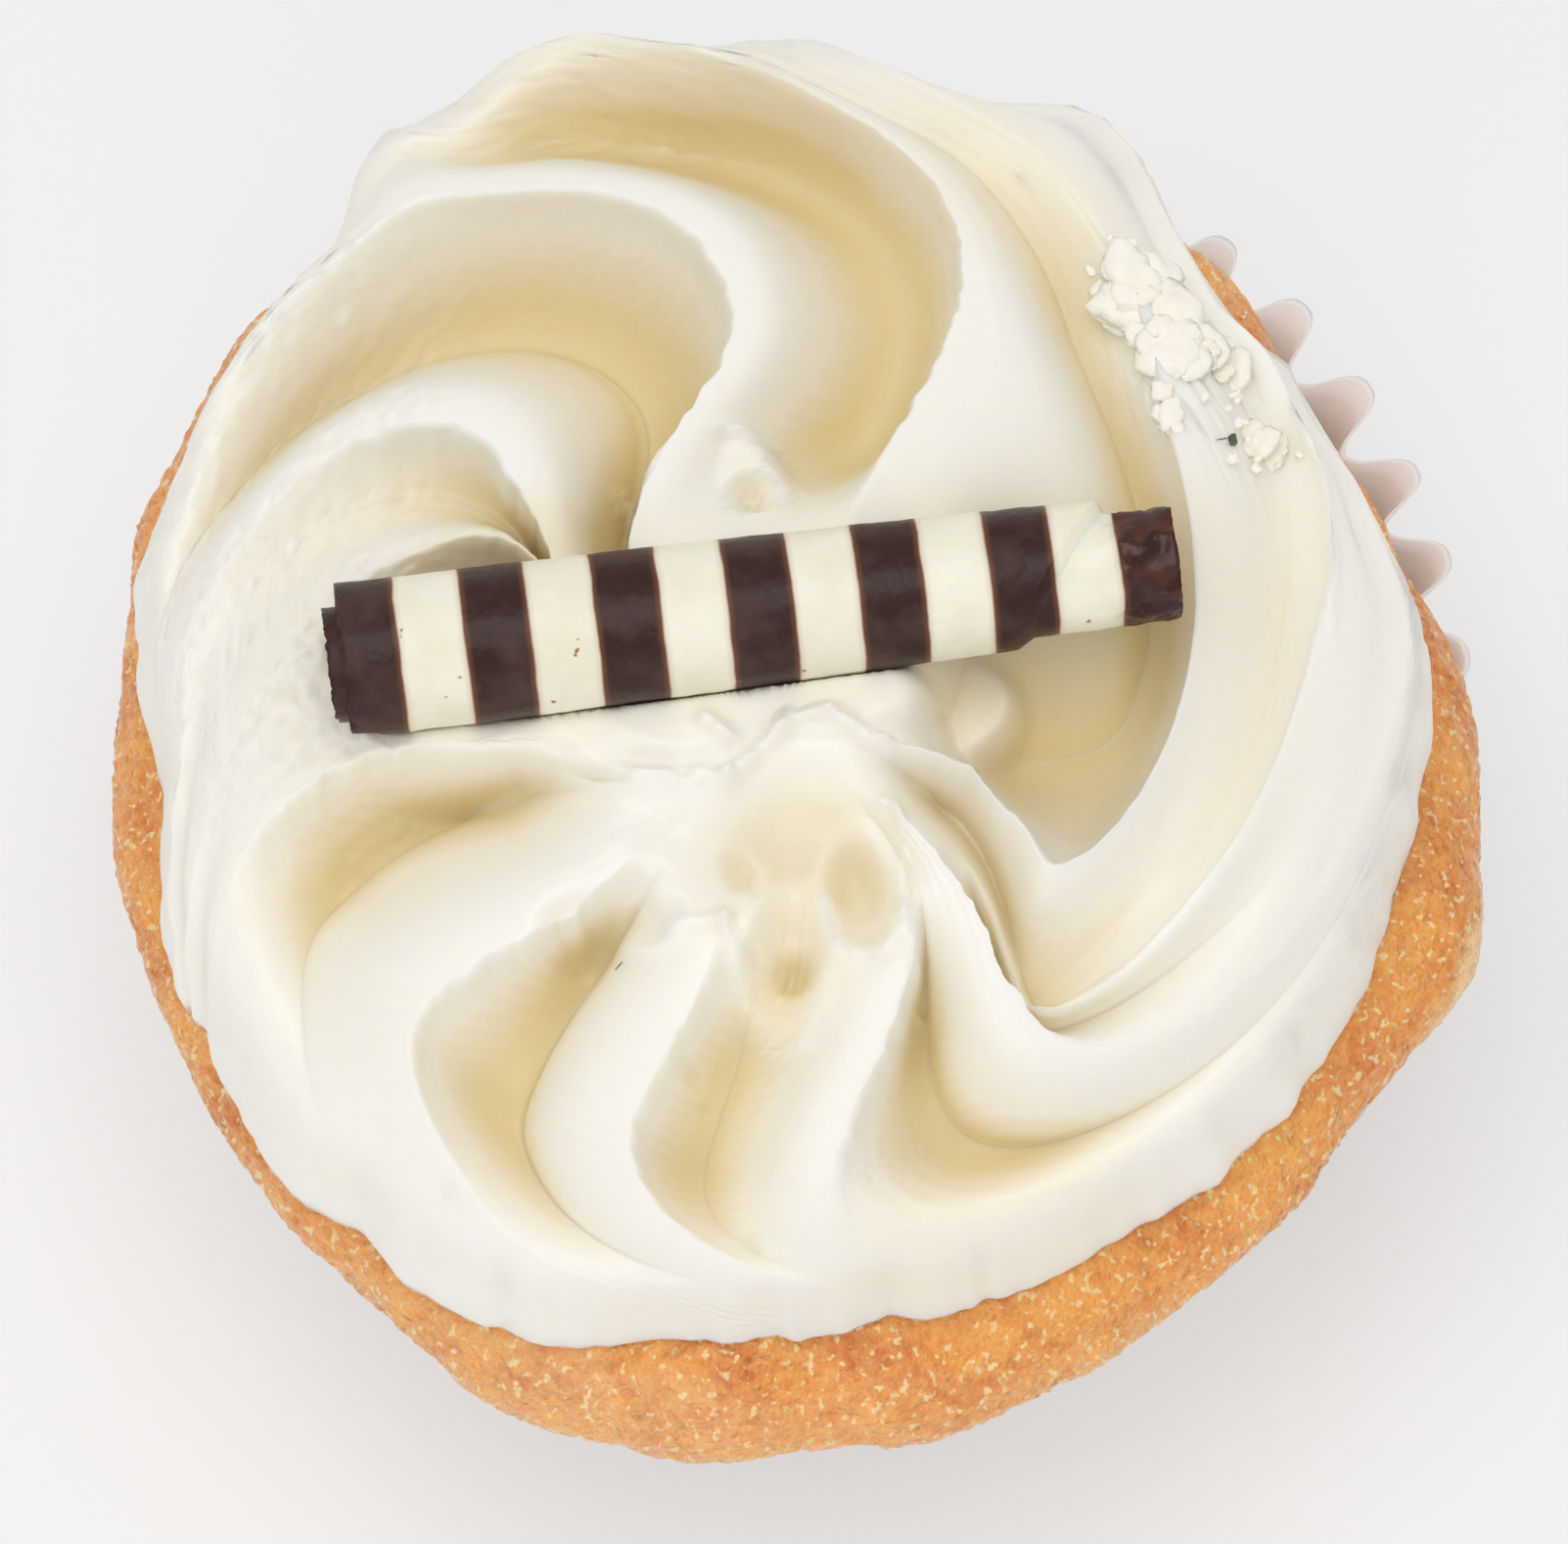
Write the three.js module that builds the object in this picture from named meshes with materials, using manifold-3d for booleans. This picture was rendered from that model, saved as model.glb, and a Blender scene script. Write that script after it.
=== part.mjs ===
// Cupcake: a sponge with a muffin top in a fluted paper case, a swirl of icing piped
// with a star nozzle, and a striped chocolate roll pressed into its top.
// Millimetres, +Z up. The origin is the middle of the case's flat base, and -Y is the
// side that the swirl leans to.
import * as THREE from 'three';
import Module from 'manifold-3d';

// ---- Driving dimensions ----------------------------------------------------------

const GAP = 0.35;                    // air between two pieces that touch

const CASE_HEIGHT = 32;
const CASE_BASE_RADIUS = 24.5;
const CASE_RIM_RADIUS = 34.1;        // mean of the flutes' tips and folds
const CASE_RIM_CENTRE = { x: -0.65, y: 0.81 };   // the cake leans a little, and its case too
const CASE_PAPER = 0.35;
const CASE_FLUTES = 42;
const CASE_FLUTE_DEPTH_BASE = 0.25;  // half of tip to fold, at the base
const CASE_FLUTE_DEPTH_RIM = 1.1;    // the same at the rim
const CASE_CORNER = 0.9;             // where the base turns up into the wall
const CASE_STEPS_PER_FLUTE = 4;

const SPONGE_CENTRE = { x: -1.3, y: -1.2 };
const SPONGE_RADIUS = 35.8;
const SPONGE_WIDEST_Z = 34.5;
const SPONGE_CROWN_RISE = 10;        // crown of the dome above its widest level
const SPONGE_LIP_Z = 32.5;           // underside of the muffin top, above the case's rim
const SPONGE_LIP_INSET = 1.9;        // how far the round lip draws in to its underside
const SPONGE_STEPS_ROUND = 96;
const SPONGE_DOME_RINGS = 11;

const SWIRL_MIDDLE = { x: -2.4, y: -6.8 };
const ICING_CENTRE = { x: -2.0, y: 0.2 };
const ICING_RADIUS = 34;
const ICING_SEAT_Z = 40;             // level that the swirl's heights are counted from
const ICING_PEAK = 20;
const ICING_RIM_LOW = 3.4;           // height of the outer turn on the side it leans to
const ICING_RIM_HIGH = 10.5;         // and on the far side
const ICING_DOME_FALL = 3.4;         // power of the fall from the peak to the rim
const ICING_DOME_SHARPNESS = 0.85;
const ICING_SIDE_START = 0.93;       // share of the reach where the round side begins
const ICING_SIDE_FLUTES = 1.3;       // depth of the valleys that run on down the far side
const SIDE_FLUTES_FROM = 0.8;        // shares of the reach over which they deepen
const SIDE_FLUTES_FULL = 0.97;
const ICING_LEAST = 0.4;             // thinnest that the icing gets over the sponge
const OVERHANG_FROM = 0.985;         // share of the dome's reach past which the icing overhangs
const ICING_STEPS_OUT = 22;
const ICING_SIDE_STEPS = 4;
const ICING_UNDERSIDE_STEPS = 9;

const ROLL_CENTRE = { x: -3.2, y: -1.1, z: 61.2 };
const ROLL_LENGTH = 42.3;
const ROLL_HEADING = 7.3;            // degrees from +X
const ROLL_RADIUS_THICK = 3.9;
const ROLL_RADIUS_THIN = 3.5;
const ROLL_CORE_RADIUS = 3;          // inner turn that shows past the outer wrap
const ROLL_WRAP_END = 0.86;          // share of the length where the outer wrap ends
const ROLL_WRAP_SLANT = 0.06;        // how far its slanted end runs either way
const ROLL_EDGE = 0.25;              // width of the worn edges at its ends
const ROLL_WRAP_STEPS = 3;           // rings between the ends of the outer wrap
const ROLL_STEPS_ROUND = 20;

// Each arm is a ridge left by one tooth of the nozzle, listed anticlockwise seen from
// above. Shares are of the way from the middle to the rim. A crest leaves the middle at
// `start` degrees and bends by `lean` until the share `turn`. There it swings back by
// `hook` at once, and by `sweep` more until the rim, late where `curl` is high. It lies
// `low` mm under the dome until it stands up at `inner`, and it has run out at `outer`.
const ARMS = [
  { start: -31.4, lean: -16.9, turn: 0.63, hook: 0, sweep: 119, curl: 3, inner: 0.26, outer: 0.88, low: 1.5 },
  { start: -10.6, lean: -34.7, turn: 0.68, hook: 52, sweep: 74, curl: 2.6, inner: 0.7, outer: 0.99, low: 6 },
  { start: -5.8, lean: -23.4, turn: 0.56, hook: 57, sweep: 64, curl: 1.3, inner: 0.12, outer: 0.99, low: 2 },
  { start: 72.9, lean: -8, turn: 0.48, hook: 0, sweep: 52, curl: 3, inner: 0.18, outer: 1, low: 5 },
  { start: 142.7, lean: -49.8, turn: 0.51, hook: 0, sweep: 65, curl: 2.4, inner: 0.18, outer: 1, low: 5 },
  { start: 148, lean: -17.2, turn: 0.53, hook: 0, sweep: 65, curl: 1.7, inner: 0.18, outer: 0.97, low: 3.2 },
  { start: 168.2, lean: -30.5, turn: 0.42, hook: 0, sweep: 60, curl: 1, inner: 0.34, outer: 0.75, low: 2.8 },
  { start: 207.6, lean: -28.2, turn: 0.35, hook: 0, sweep: 23, curl: 3, inner: 0.18, outer: 0.98, low: 3 },
  { start: 226.1, lean: -10.7, turn: 0.74, hook: 0, sweep: 60, curl: 2.1, inner: 0.3, outer: 0.98, low: 2 },
  { start: 261.7, lean: -13, turn: 0.76, hook: 0, sweep: 38, curl: 1.6, inner: 0.34, outer: 0.98, low: 2 },
  { start: 323.7, lean: -46.6, turn: 0.81, hook: 0, sweep: 14, curl: 2.8, inner: 0.42, outer: 0.97, low: 2 },
];

// Each valley lies between its arm and the next, and is `depth` mm deep. It opens from
// the share `start`, and runs out over the share `close` before the arm's outer end. Its
// lowest line drifts from `trough` to `troughOut`, as shares of the way across, and
// `swell` rounds its far bank.
const VALLEYS = [
  { depth: 6.5, start: 0.26, close: 0.3, trough: 0.45, troughOut: 0.5, swell: 0.3 },
  { depth: 3, start: 0.45, close: 0.22, trough: 0.35, troughOut: 0.35, swell: 0 },
  { depth: 9.5, start: 0.14, close: 0.6, trough: 0.28, troughOut: 0.68, swell: 0.3 },
  { depth: 9, start: 0.22, close: 0.15, trough: 0.3, troughOut: 0.3, swell: 0 },
  { depth: 11, start: 0.16, close: 0.22, trough: 0.33, troughOut: 0.5, swell: 0.4 },
  { depth: 6.5, start: 0.14, close: 0.5, trough: 0.38, troughOut: 0.35, swell: 0.2 },
  { depth: 5.5, start: 0.12, close: 0.4, trough: 0.35, troughOut: 0.35, swell: 0.1 },
  { depth: 8.5, start: 0.2, close: 0.32, trough: 0.15, troughOut: 0.42, swell: 0.6 },
  { depth: 8.5, start: 0.26, close: 0.26, trough: 0.25, troughOut: 0.6, swell: 0.9 },
  { depth: 7.5, start: 0.34, close: 0.26, trough: 0.22, troughOut: 0.45, swell: 0.3 },
  { depth: 8.5, start: 0.34, close: 0.26, trough: 0.2, troughOut: 0.7, swell: 0.6 },
];
const LEAN_START = 0.15;             // share of the reach where the arms begin to bend
const HOOK_BEFORE = 0.02;            // the hook lies from this far before the turn
const HOOK_AFTER = 0.09;             // to this far after it
const ELBOW = [-0.05, -0.025, 0, 0.025, 0.05];   // shifts over which a crest is averaged
const VALLEY_OPENING = 0.24;         // share of the reach over which a valley opens
const TROUGH_DRIFT_FROM = 0.3;
const TROUGH_DRIFT_TO = 0.9;
const CREASE_SOFTNESS = 0.8;         // mm
const LOW_FROM = 0.10;               // shares of the reach over which low arms sink
const LOW_FULL = 0.30;
const ARM_RISE_BEFORE = 0.10;
const ARM_RISE_AFTER = 0.04;
const COLUMN_SPREAD = 8;             // degrees between the skin's columns where arms lie wide apart
const COLUMNS_DOWN = 3;              // fewest columns from a crest to its trough
const COLUMNS_UP = 4;                // and from the trough to the next crest

// Lumps and dents of the two outlines: bearing and half-width in degrees, reach in mm.
const SPONGE_LUMPS = [
  { bearing: 3, width: 8, reach: 0.3 },
  { bearing: 18, width: 9, reach: -1.5 },
  { bearing: 34, width: 10, reach: -2.1 },
  { bearing: 104, width: 24, reach: 2.7 },
  { bearing: 140, width: 12, reach: 1.7 },
  { bearing: 158, width: 8, reach: 1.0 },
  { bearing: 176, width: 9, reach: -0.4 },
  { bearing: 204, width: 12, reach: -0.5 },
  { bearing: 248, width: 9, reach: 1.7 },
  { bearing: 263, width: 7, reach: 1.5 },
  { bearing: 280, width: 8, reach: 0.9 },
  { bearing: 308, width: 10, reach: -0.7 },
  { bearing: 326, width: 9, reach: -0.8 },
  { bearing: 344, width: 8, reach: 1.6 },
];
const ICING_LUMPS = [
  { bearing: 2, width: 9, reach: 1.0 },
  { bearing: 12, width: 6, reach: -0.9 },
  { bearing: 26, width: 9, reach: -2.4 },
  { bearing: 41, width: 8, reach: -3.2 },
  { bearing: 50, width: 5, reach: -0.8 },
  { bearing: 60, width: 6, reach: 1.1 },
  { bearing: 76, width: 9, reach: -0.6 },
  { bearing: 94, width: 10, reach: 1.5 },
  { bearing: 111, width: 10, reach: 3.0 },
  { bearing: 126, width: 6, reach: 3.3 },
  { bearing: 158, width: 9, reach: -0.5 },
  { bearing: 188, width: 7, reach: -1.4 },
  { bearing: 226, width: 12, reach: 1.6 },
  { bearing: 246, width: 10, reach: 1.9 },
  { bearing: 278, width: 10, reach: -0.7 },
  { bearing: 298, width: 12, reach: -0.7 },
];
const ICING_LUMPS_FROM = 0.78;       // share of the reach where the icing's lumps begin to grow

// ---- Helpers ---------------------------------------------------------------------

const radians = THREE.MathUtils.degToRad;
const degrees = THREE.MathUtils.radToDeg;
const smooth = (from, to, x) => THREE.MathUtils.smoothstep(x, from, to);
const lerp = THREE.MathUtils.lerp;
const clamp01 = (x) => THREE.MathUtils.clamp(x, 0, 1);
const steps = (count) => Array.from({ length: count }, (_, i) => i);

// Outward reach of all lumps at a bearing, each a soft bell.
function lumpReach(lumps, bearing) {
  return lumps.reduce((sum, lump) => {
    const away = ((bearing - lump.bearing + 540) % 360) - 180;
    return sum + lump.reach * Math.exp(-((away / lump.width) ** 2));
  }, 0);
}

// One closed body from a first point, rings of equal count and a last point. Rings run
// anticlockwise seen from the end that the body grows towards.
function bodyFromRings(first, rings, last) {
  const points = [first, ...rings.flat(), last];
  const count = rings[0].length;
  const index = [];
  const at = (ring, column) => 1 + ring * count + (column % count);
  for (const column of steps(count)) {
    index.push(0, at(0, column + 1), at(0, column));
    for (const ring of steps(rings.length - 1)) {
      const nearCorner = at(ring, column);
      const farCorner = at(ring + 1, column + 1);
      index.push(nearCorner, at(ring, column + 1), farCorner);
      index.push(nearCorner, farCorner, at(ring + 1, column));
    }
    index.push(points.length - 1, at(rings.length - 1, column), at(rings.length - 1, column + 1));
  }
  const geometry = new THREE.BufferGeometry();
  geometry.setAttribute('position', new THREE.Float32BufferAttribute(points.flatMap((p) => p.toArray()), 3));
  geometry.setIndex(index);
  geometry.computeVertexNormals();
  return geometry;
}

// A ring about a vertical axis, with its radius and height given by bearing in degrees.
function ringOf(count, radiusAt, heightAt, centre = { x: 0, y: 0 }) {
  return steps(count).map((i) => {
    const bearing = (360 * i) / count;
    const angle = radians(bearing);
    const radius = radiusAt(bearing);
    const x = centre.x + radius * Math.cos(angle);
    const y = centre.y + radius * Math.sin(angle);
    return new THREE.Vector3(x, y, heightAt(bearing));
  });
}

const wasm = await Module();
wasm.setup();

function solidOf(geometry) {
  return new wasm.Manifold(new wasm.Mesh({
    numProp: 3,
    vertProperties: new Float32Array(geometry.attributes.position.array),
    triVerts: new Uint32Array(geometry.index.array),
  }));
}

function geometryOf(solid) {
  const mesh = solid.getMesh();
  const geometry = new THREE.BufferGeometry();
  geometry.setAttribute('position', new THREE.Float32BufferAttribute(mesh.vertProperties, 3));
  geometry.setIndex(Array.from(mesh.triVerts));
  geometry.computeVertexNormals();
  return geometry;
}

function namedMesh(name, geometry, look) {
  const mesh = new THREE.Mesh(geometry, new THREE.MeshStandardMaterial({ metalness: 0, ...look }));
  mesh.name = name;
  return mesh;
}

// ---- Paper case ------------------------------------------------------------------

// Mean radius of the case's wall at a height, half the depth of its flutes there, and
// its middle there.
const caseRadius = (z) => lerp(CASE_BASE_RADIUS, CASE_RIM_RADIUS, z / CASE_HEIGHT);
const fluteDepth = (z) => lerp(CASE_FLUTE_DEPTH_BASE, CASE_FLUTE_DEPTH_RIM, z / CASE_HEIGHT);
const caseCentre = (z) => ({
  x: CASE_RIM_CENTRE.x * (z / CASE_HEIGHT),
  y: CASE_RIM_CENTRE.y * (z / CASE_HEIGHT),
});

function makePaperCase() {
  const count = CASE_FLUTES * CASE_STEPS_PER_FLUTE;
  const wallRing = (z, inward) => ringOf(
    count,
    (bearing) => caseRadius(z) - inward + fluteDepth(z) * Math.cos(radians(bearing * CASE_FLUTES)),
    () => z,
    caseCentre(z),
  );
  const flatRing = (radius, z) => ringOf(count, () => radius, () => z);
  const rings = [
    flatRing(CASE_BASE_RADIUS - CASE_CORNER, 0),
    wallRing(CASE_CORNER, 0),
    wallRing(CASE_HEIGHT, 0),
    wallRing(CASE_HEIGHT, CASE_PAPER),
    wallRing(CASE_CORNER + CASE_PAPER, CASE_PAPER),
    flatRing(CASE_BASE_RADIUS - CASE_CORNER - CASE_PAPER, CASE_PAPER),
  ];
  return bodyFromRings(new THREE.Vector3(0, 0, 0), rings, new THREE.Vector3(0, 0, CASE_PAPER));
}

// ---- Sponge ----------------------------------------------------------------------

const spongeReach = (bearing) => SPONGE_RADIUS + lumpReach(SPONGE_LUMPS, bearing);

// Height of the muffin top's dome at a share of its reach.
const domeZ = (share) => SPONGE_WIDEST_Z + SPONGE_CROWN_RISE * Math.sqrt(Math.max(0, 1 - share ** 3));

// Height of the icing's underside: on the dome, clear of it upward and sideways, and
// rising again where it hangs over the dome's edge.
function seatZ(x, y) {
  const dx = x - SPONGE_CENTRE.x;
  const dy = y - SPONGE_CENTRE.y;
  const bearing = (degrees(Math.atan2(dy, dx)) + 360) % 360;
  const share = Math.max(0, Math.hypot(dx, dy) - GAP) / spongeReach(bearing);
  return domeZ(Math.min(share, 2 * OVERHANG_FROM - share)) + GAP;
}

function makeSponge() {
  const inCase = (z) => caseRadius(z) - fluteDepth(z) - CASE_PAPER - GAP;
  const bottomZ = CASE_PAPER + GAP;
  const cornerZ = bottomZ + CASE_CORNER;
  const neckRadius = inCase(CASE_HEIGHT) - GAP;
  const roundRing = (radius, z) => ringOf(
    SPONGE_STEPS_ROUND,
    () => radius,
    () => z,
    caseCentre(Math.min(z, CASE_HEIGHT)),
  );
  const lobedRing = (reachAt, z) => ringOf(SPONGE_STEPS_ROUND, reachAt, () => z, SPONGE_CENTRE);
  const lipRing = (angle) => lobedRing(
    (bearing) => spongeReach(bearing) - SPONGE_LIP_INSET * (1 - Math.cos(angle)),
    SPONGE_WIDEST_Z + (SPONGE_WIDEST_Z - SPONGE_LIP_Z) * Math.sin(angle),
  );
  const domeRing = (i) => {
    const share = Math.cos((Math.PI / 2) * (i / SPONGE_DOME_RINGS));
    return lobedRing((bearing) => share * spongeReach(bearing), domeZ(share));
  };
  const rings = [
    roundRing(inCase(bottomZ) - CASE_CORNER, bottomZ),
    roundRing(inCase(cornerZ), cornerZ),
    roundRing(neckRadius, SPONGE_LIP_Z),
    lipRing(-Math.PI / 2),
    lipRing(-Math.PI / 4),
    ...steps(SPONGE_DOME_RINGS).map(domeRing),
  ];
  const crown = new THREE.Vector3(SPONGE_CENTRE.x, SPONGE_CENTRE.y, domeZ(0));
  return bodyFromRings(new THREE.Vector3(0, 0, bottomZ), rings, crown);
}

// ---- Icing -----------------------------------------------------------------------

// Distance from the swirl's middle at a share of the way to the rim: a circle seen from
// a point off its centre, with lumps that grow towards the rim.
function icingReach(bearing, share) {
  const dx = ICING_CENTRE.x - SWIRL_MIDDLE.x;
  const dy = ICING_CENTRE.y - SWIRL_MIDDLE.y;
  const offset = Math.hypot(dx, dy);
  const angle = radians(bearing) - Math.atan2(dy, dx);
  const circle = offset * Math.cos(angle) + Math.sqrt(ICING_RADIUS ** 2 - (offset * Math.sin(angle)) ** 2);
  const x = circle * Math.cos(radians(bearing)) - dx;
  const y = circle * Math.sin(radians(bearing)) - dy;
  const lumps = lumpReach(ICING_LUMPS, (degrees(Math.atan2(y, x)) + 360) % 360);
  return share * circle + smooth(ICING_LUMPS_FROM, 1, share) * lumps;
}

// Bearing of an arm's crest at a share of the way out, with its elbow rounded off.
function armBearing(arm, share) {
  const sharp = (s) => {
    const past = Math.max(0, (s - arm.turn) / (1 - arm.turn));
    const leaning = arm.lean * smooth(LEAN_START, arm.turn, s);
    const hooked = arm.hook * smooth(arm.turn - HOOK_BEFORE, arm.turn + HOOK_AFTER, s);
    return arm.start + leaning + hooked + arm.sweep * past ** arm.curl;
  };
  return ELBOW.reduce((sum, shift) => sum + sharp(share + shift), 0) / ELBOW.length;
}

// 0 on the side that the swirl leans to, 1 on the far side.
const farness = (bearing) => (1 + Math.sin(radians(bearing))) / 2;

// Height of the dome that the crests touch.
function crestHeight(share, bearing) {
  const rim = lerp(ICING_RIM_LOW, ICING_RIM_HIGH, farness(bearing));
  const fall = Math.max(0, 1 - share ** ICING_DOME_FALL) ** ICING_DOME_SHARPNESS;
  return rim + (ICING_PEAK - rim) * fall;
}

// Share of its depth that the valley after an arm has at a share of the way out.
function valleyOpen(arm, valley, share) {
  const opened = smooth(valley.start, valley.start + VALLEY_OPENING, share);
  return opened * (1 - smooth(arm.outer - valley.close, arm.outer, share));
}

// How far an arm's crest lies below the dome before the arm has risen.
function crestSunk(arm, share) {
  const risen = smooth(arm.inner - ARM_RISE_BEFORE, arm.inner + ARM_RISE_AFTER, share);
  return arm.low * (1 - risen) * smooth(LOW_FROM, LOW_FULL, share);
}

// Depth across a valley, from 0 at a crest to 1 at the trough, which has the place 0.5:
// a hollow wall, then a rise to the next arm, soft or swollen like a cushion.
function hollowShape(place, swell) {
  if (place < 0.5) {
    return 1 - (1 - place / 0.5) ** 2;
  }
  const up = (place - 0.5) / 0.5;
  const soft = (1 + Math.cos(Math.PI * up)) / 2;
  const swollen = 1 - Math.sqrt(1 - (1 - up) ** 2);
  return lerp(soft, swollen, swell);
}

// The larger of two depths, with the crease between them softened.
function deeper(first, second) {
  return (first + second + Math.hypot(first - second, CREASE_SOFTNESS) - CREASE_SOFTNESS) / 2;
}

// A point of the swirl's skin, on a column and at a share of the way out.
function swirlPoint({ arm, valley, nextArm, nextTurn, place }, share) {
  const drift = smooth(TROUGH_DRIFT_FROM, TROUGH_DRIFT_TO, share);
  const trough = lerp(valley.trough, valley.troughOut, drift);
  const phase = place < 0.5 ? (place / 0.5) * trough : lerp(trough, 1, (place - 0.5) / 0.5);
  const bearing = lerp(armBearing(arm, share), armBearing(nextArm, share) + nextTurn, phase);
  const sunk = lerp(crestSunk(arm, share), crestSunk(nextArm, share), phase);
  const hollow = hollowShape(place, valley.swell);
  const cut = deeper(sunk, valley.depth * valleyOpen(arm, valley, share) * hollow);
  const down = clamp01((share - ICING_SIDE_START) / (1 - ICING_SIDE_START));
  const side = Math.sqrt(Math.max(0, 1 - down ** 2));
  const height = (crestHeight(share, bearing) - cut) * side;
  const fluteShare = smooth(SIDE_FLUTES_FROM, SIDE_FLUTES_FULL, share);
  const reach = icingReach(bearing, share) - ICING_SIDE_FLUTES * farness(bearing) * hollow * fluteShare;
  const x = SWIRL_MIDDLE.x + reach * Math.cos(radians(bearing));
  const y = SWIRL_MIDDLE.y + reach * Math.sin(radians(bearing));
  return new THREE.Vector3(x, y, Math.max(ICING_SEAT_Z + height, seatZ(x, y) + ICING_LEAST * side));
}

// The skin's columns follow the arms. A column's place is 0 on its arm's crest, 0.5 in
// the trough and 1 on the next crest, and a wide valley has more columns.
function skinColumns() {
  return ARMS.flatMap((arm, k) => {
    const valley = VALLEYS[k];
    const nextArm = ARMS[(k + 1) % ARMS.length];
    const nextTurn = k === ARMS.length - 1 ? 360 : 0;
    const width = (share) => armBearing(nextArm, share) + nextTurn - armBearing(arm, share);
    const halfway = width(0.5) / COLUMN_SPREAD;
    const outside = width(1) / COLUMN_SPREAD;
    const down = Math.max(COLUMNS_DOWN, halfway * valley.trough, outside * valley.troughOut);
    const up = Math.max(COLUMNS_UP, halfway * (1 - valley.trough), outside * (1 - valley.troughOut));
    const downCount = Math.round(down);
    const upCount = Math.round(up);
    const places = [
      ...steps(downCount).map((i) => (i / downCount) * 0.5),
      ...steps(upCount).map((i) => lerp(0.5, 1, i / upCount)),
    ];
    return places.map((place) => ({ arm, valley, nextArm, nextTurn, place }));
  });
}

function makeIcing() {
  const columns = skinColumns();
  const ringAt = (share) => columns.map((column) => swirlPoint(column, share));
  const topShares = steps(ICING_STEPS_OUT).map((i) => ((i + 1) / ICING_STEPS_OUT) * ICING_SIDE_START);
  const sideShares = steps(ICING_SIDE_STEPS).map((i) => {
    const angle = (Math.PI / 2) * ((i + 1) / ICING_SIDE_STEPS);
    return lerp(ICING_SIDE_START, 1, Math.sin(angle));
  });
  const skin = [...topShares, ...sideShares].map(ringAt);
  const seatRing = (share) => skin[skin.length - 1].map((edge) => {
    const x = lerp(SWIRL_MIDDLE.x, edge.x, share);
    const y = lerp(SWIRL_MIDDLE.y, edge.y, share);
    return new THREE.Vector3(x, y, seatZ(x, y));
  });
  const underside = steps(ICING_UNDERSIDE_STEPS).map((i) => {
    const left = 1 - (i + 1) / (ICING_UNDERSIDE_STEPS + 1);
    return seatRing(1 - left ** 2);
  });
  const { x, y } = SWIRL_MIDDLE;
  const low = new THREE.Vector3(x, y, seatZ(x, y));
  const high = new THREE.Vector3(x, y, ICING_SEAT_Z + ICING_PEAK);
  return bodyFromRings(low, [...underside, ...skin.reverse()], high);
}

// ---- Chocolate roll --------------------------------------------------------------

// The roll along +Z, from its thick end: an outer wrap that ends on a slant and the
// narrower turn inside it, all made `swell` mm larger where room is cut for it.
function makeRoll(swell) {
  const wrapRadius = (share) => lerp(ROLL_RADIUS_THICK, ROLL_RADIUS_THIN, (share / ROLL_WRAP_END) ** 2);
  const startZ = -ROLL_LENGTH / 2 - swell;
  const endZ = ROLL_LENGTH / 2 + swell;
  const ring = (radius, zAt) => steps(ROLL_STEPS_ROUND).map((i) => {
    const angle = (2 * Math.PI * i) / ROLL_STEPS_ROUND;
    const reach = radius + swell;
    return new THREE.Vector3(reach * Math.cos(angle), reach * Math.sin(angle), zAt(angle));
  });
  const wrapRing = (i) => {
    const share = (ROLL_WRAP_END - ROLL_WRAP_SLANT) * ((i + 1) / (ROLL_WRAP_STEPS + 1));
    return ring(wrapRadius(share), () => (share - 0.5) * ROLL_LENGTH);
  };
  const wrapEnd = (angle) => (ROLL_WRAP_END + ROLL_WRAP_SLANT * Math.sin(angle) - 0.5) * ROLL_LENGTH + swell;
  const rings = [
    ring(ROLL_RADIUS_THICK - ROLL_EDGE, () => startZ),
    ring(ROLL_RADIUS_THICK, () => startZ + ROLL_EDGE),
    ...steps(ROLL_WRAP_STEPS).map(wrapRing),
    ring(ROLL_RADIUS_THIN, wrapEnd),
    ring(ROLL_CORE_RADIUS, (angle) => wrapEnd(angle) + ROLL_EDGE),
    ring(ROLL_CORE_RADIUS, () => endZ - ROLL_EDGE),
    ring(ROLL_CORE_RADIUS - ROLL_EDGE, () => endZ),
  ];
  return bodyFromRings(new THREE.Vector3(0, 0, startZ), rings, new THREE.Vector3(0, 0, endZ));
}

// Turns a body made along +Z to lie along the roll's heading, and lays it in its place.
function layDown(target) {
  target.rotation.set(0, Math.PI / 2, radians(ROLL_HEADING), 'ZYX');
  target.position.set(ROLL_CENTRE.x, ROLL_CENTRE.y, ROLL_CENTRE.z);
  target.updateMatrix();
  return target;
}

// ---- Assembly --------------------------------------------------------------------

const rollRoom = makeRoll(GAP).applyMatrix4(layDown(new THREE.Object3D()).matrix);
const icing = geometryOf(solidOf(makeIcing()).subtract(solidOf(rollRoom)));

const cupcake = new THREE.Group();
cupcake.add(
  namedMesh('paper_case', makePaperCase(), { color: 0xf0e4e2, roughness: 0.8 }),
  namedMesh('sponge', makeSponge(), { color: 0xc98544, roughness: 0.6 }),
  namedMesh('icing', icing, { color: 0xf3ead2, roughness: 0.5 }),
  layDown(namedMesh('chocolate_roll', makeRoll(0), { color: 0x3c2420, roughness: 0.4 })),
);

export default cupcake;
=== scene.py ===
# %% [markdown]
# # A cupcake with a piped swirl
# A sponge baked in a fluted paper case, a swirl of icing piped with a star nozzle, and
# a striped chocolate roll pressed into its top. The solid model is loaded first and
# stays as it is. Every piece made below takes the place of one of its solids, or sits
# on one, so the driving dimensions are the solids' own, in millimetres.

# %% Load the solid model
import math
from collections import namedtuple

import bpy
import numpy as np
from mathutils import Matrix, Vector, noise


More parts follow.
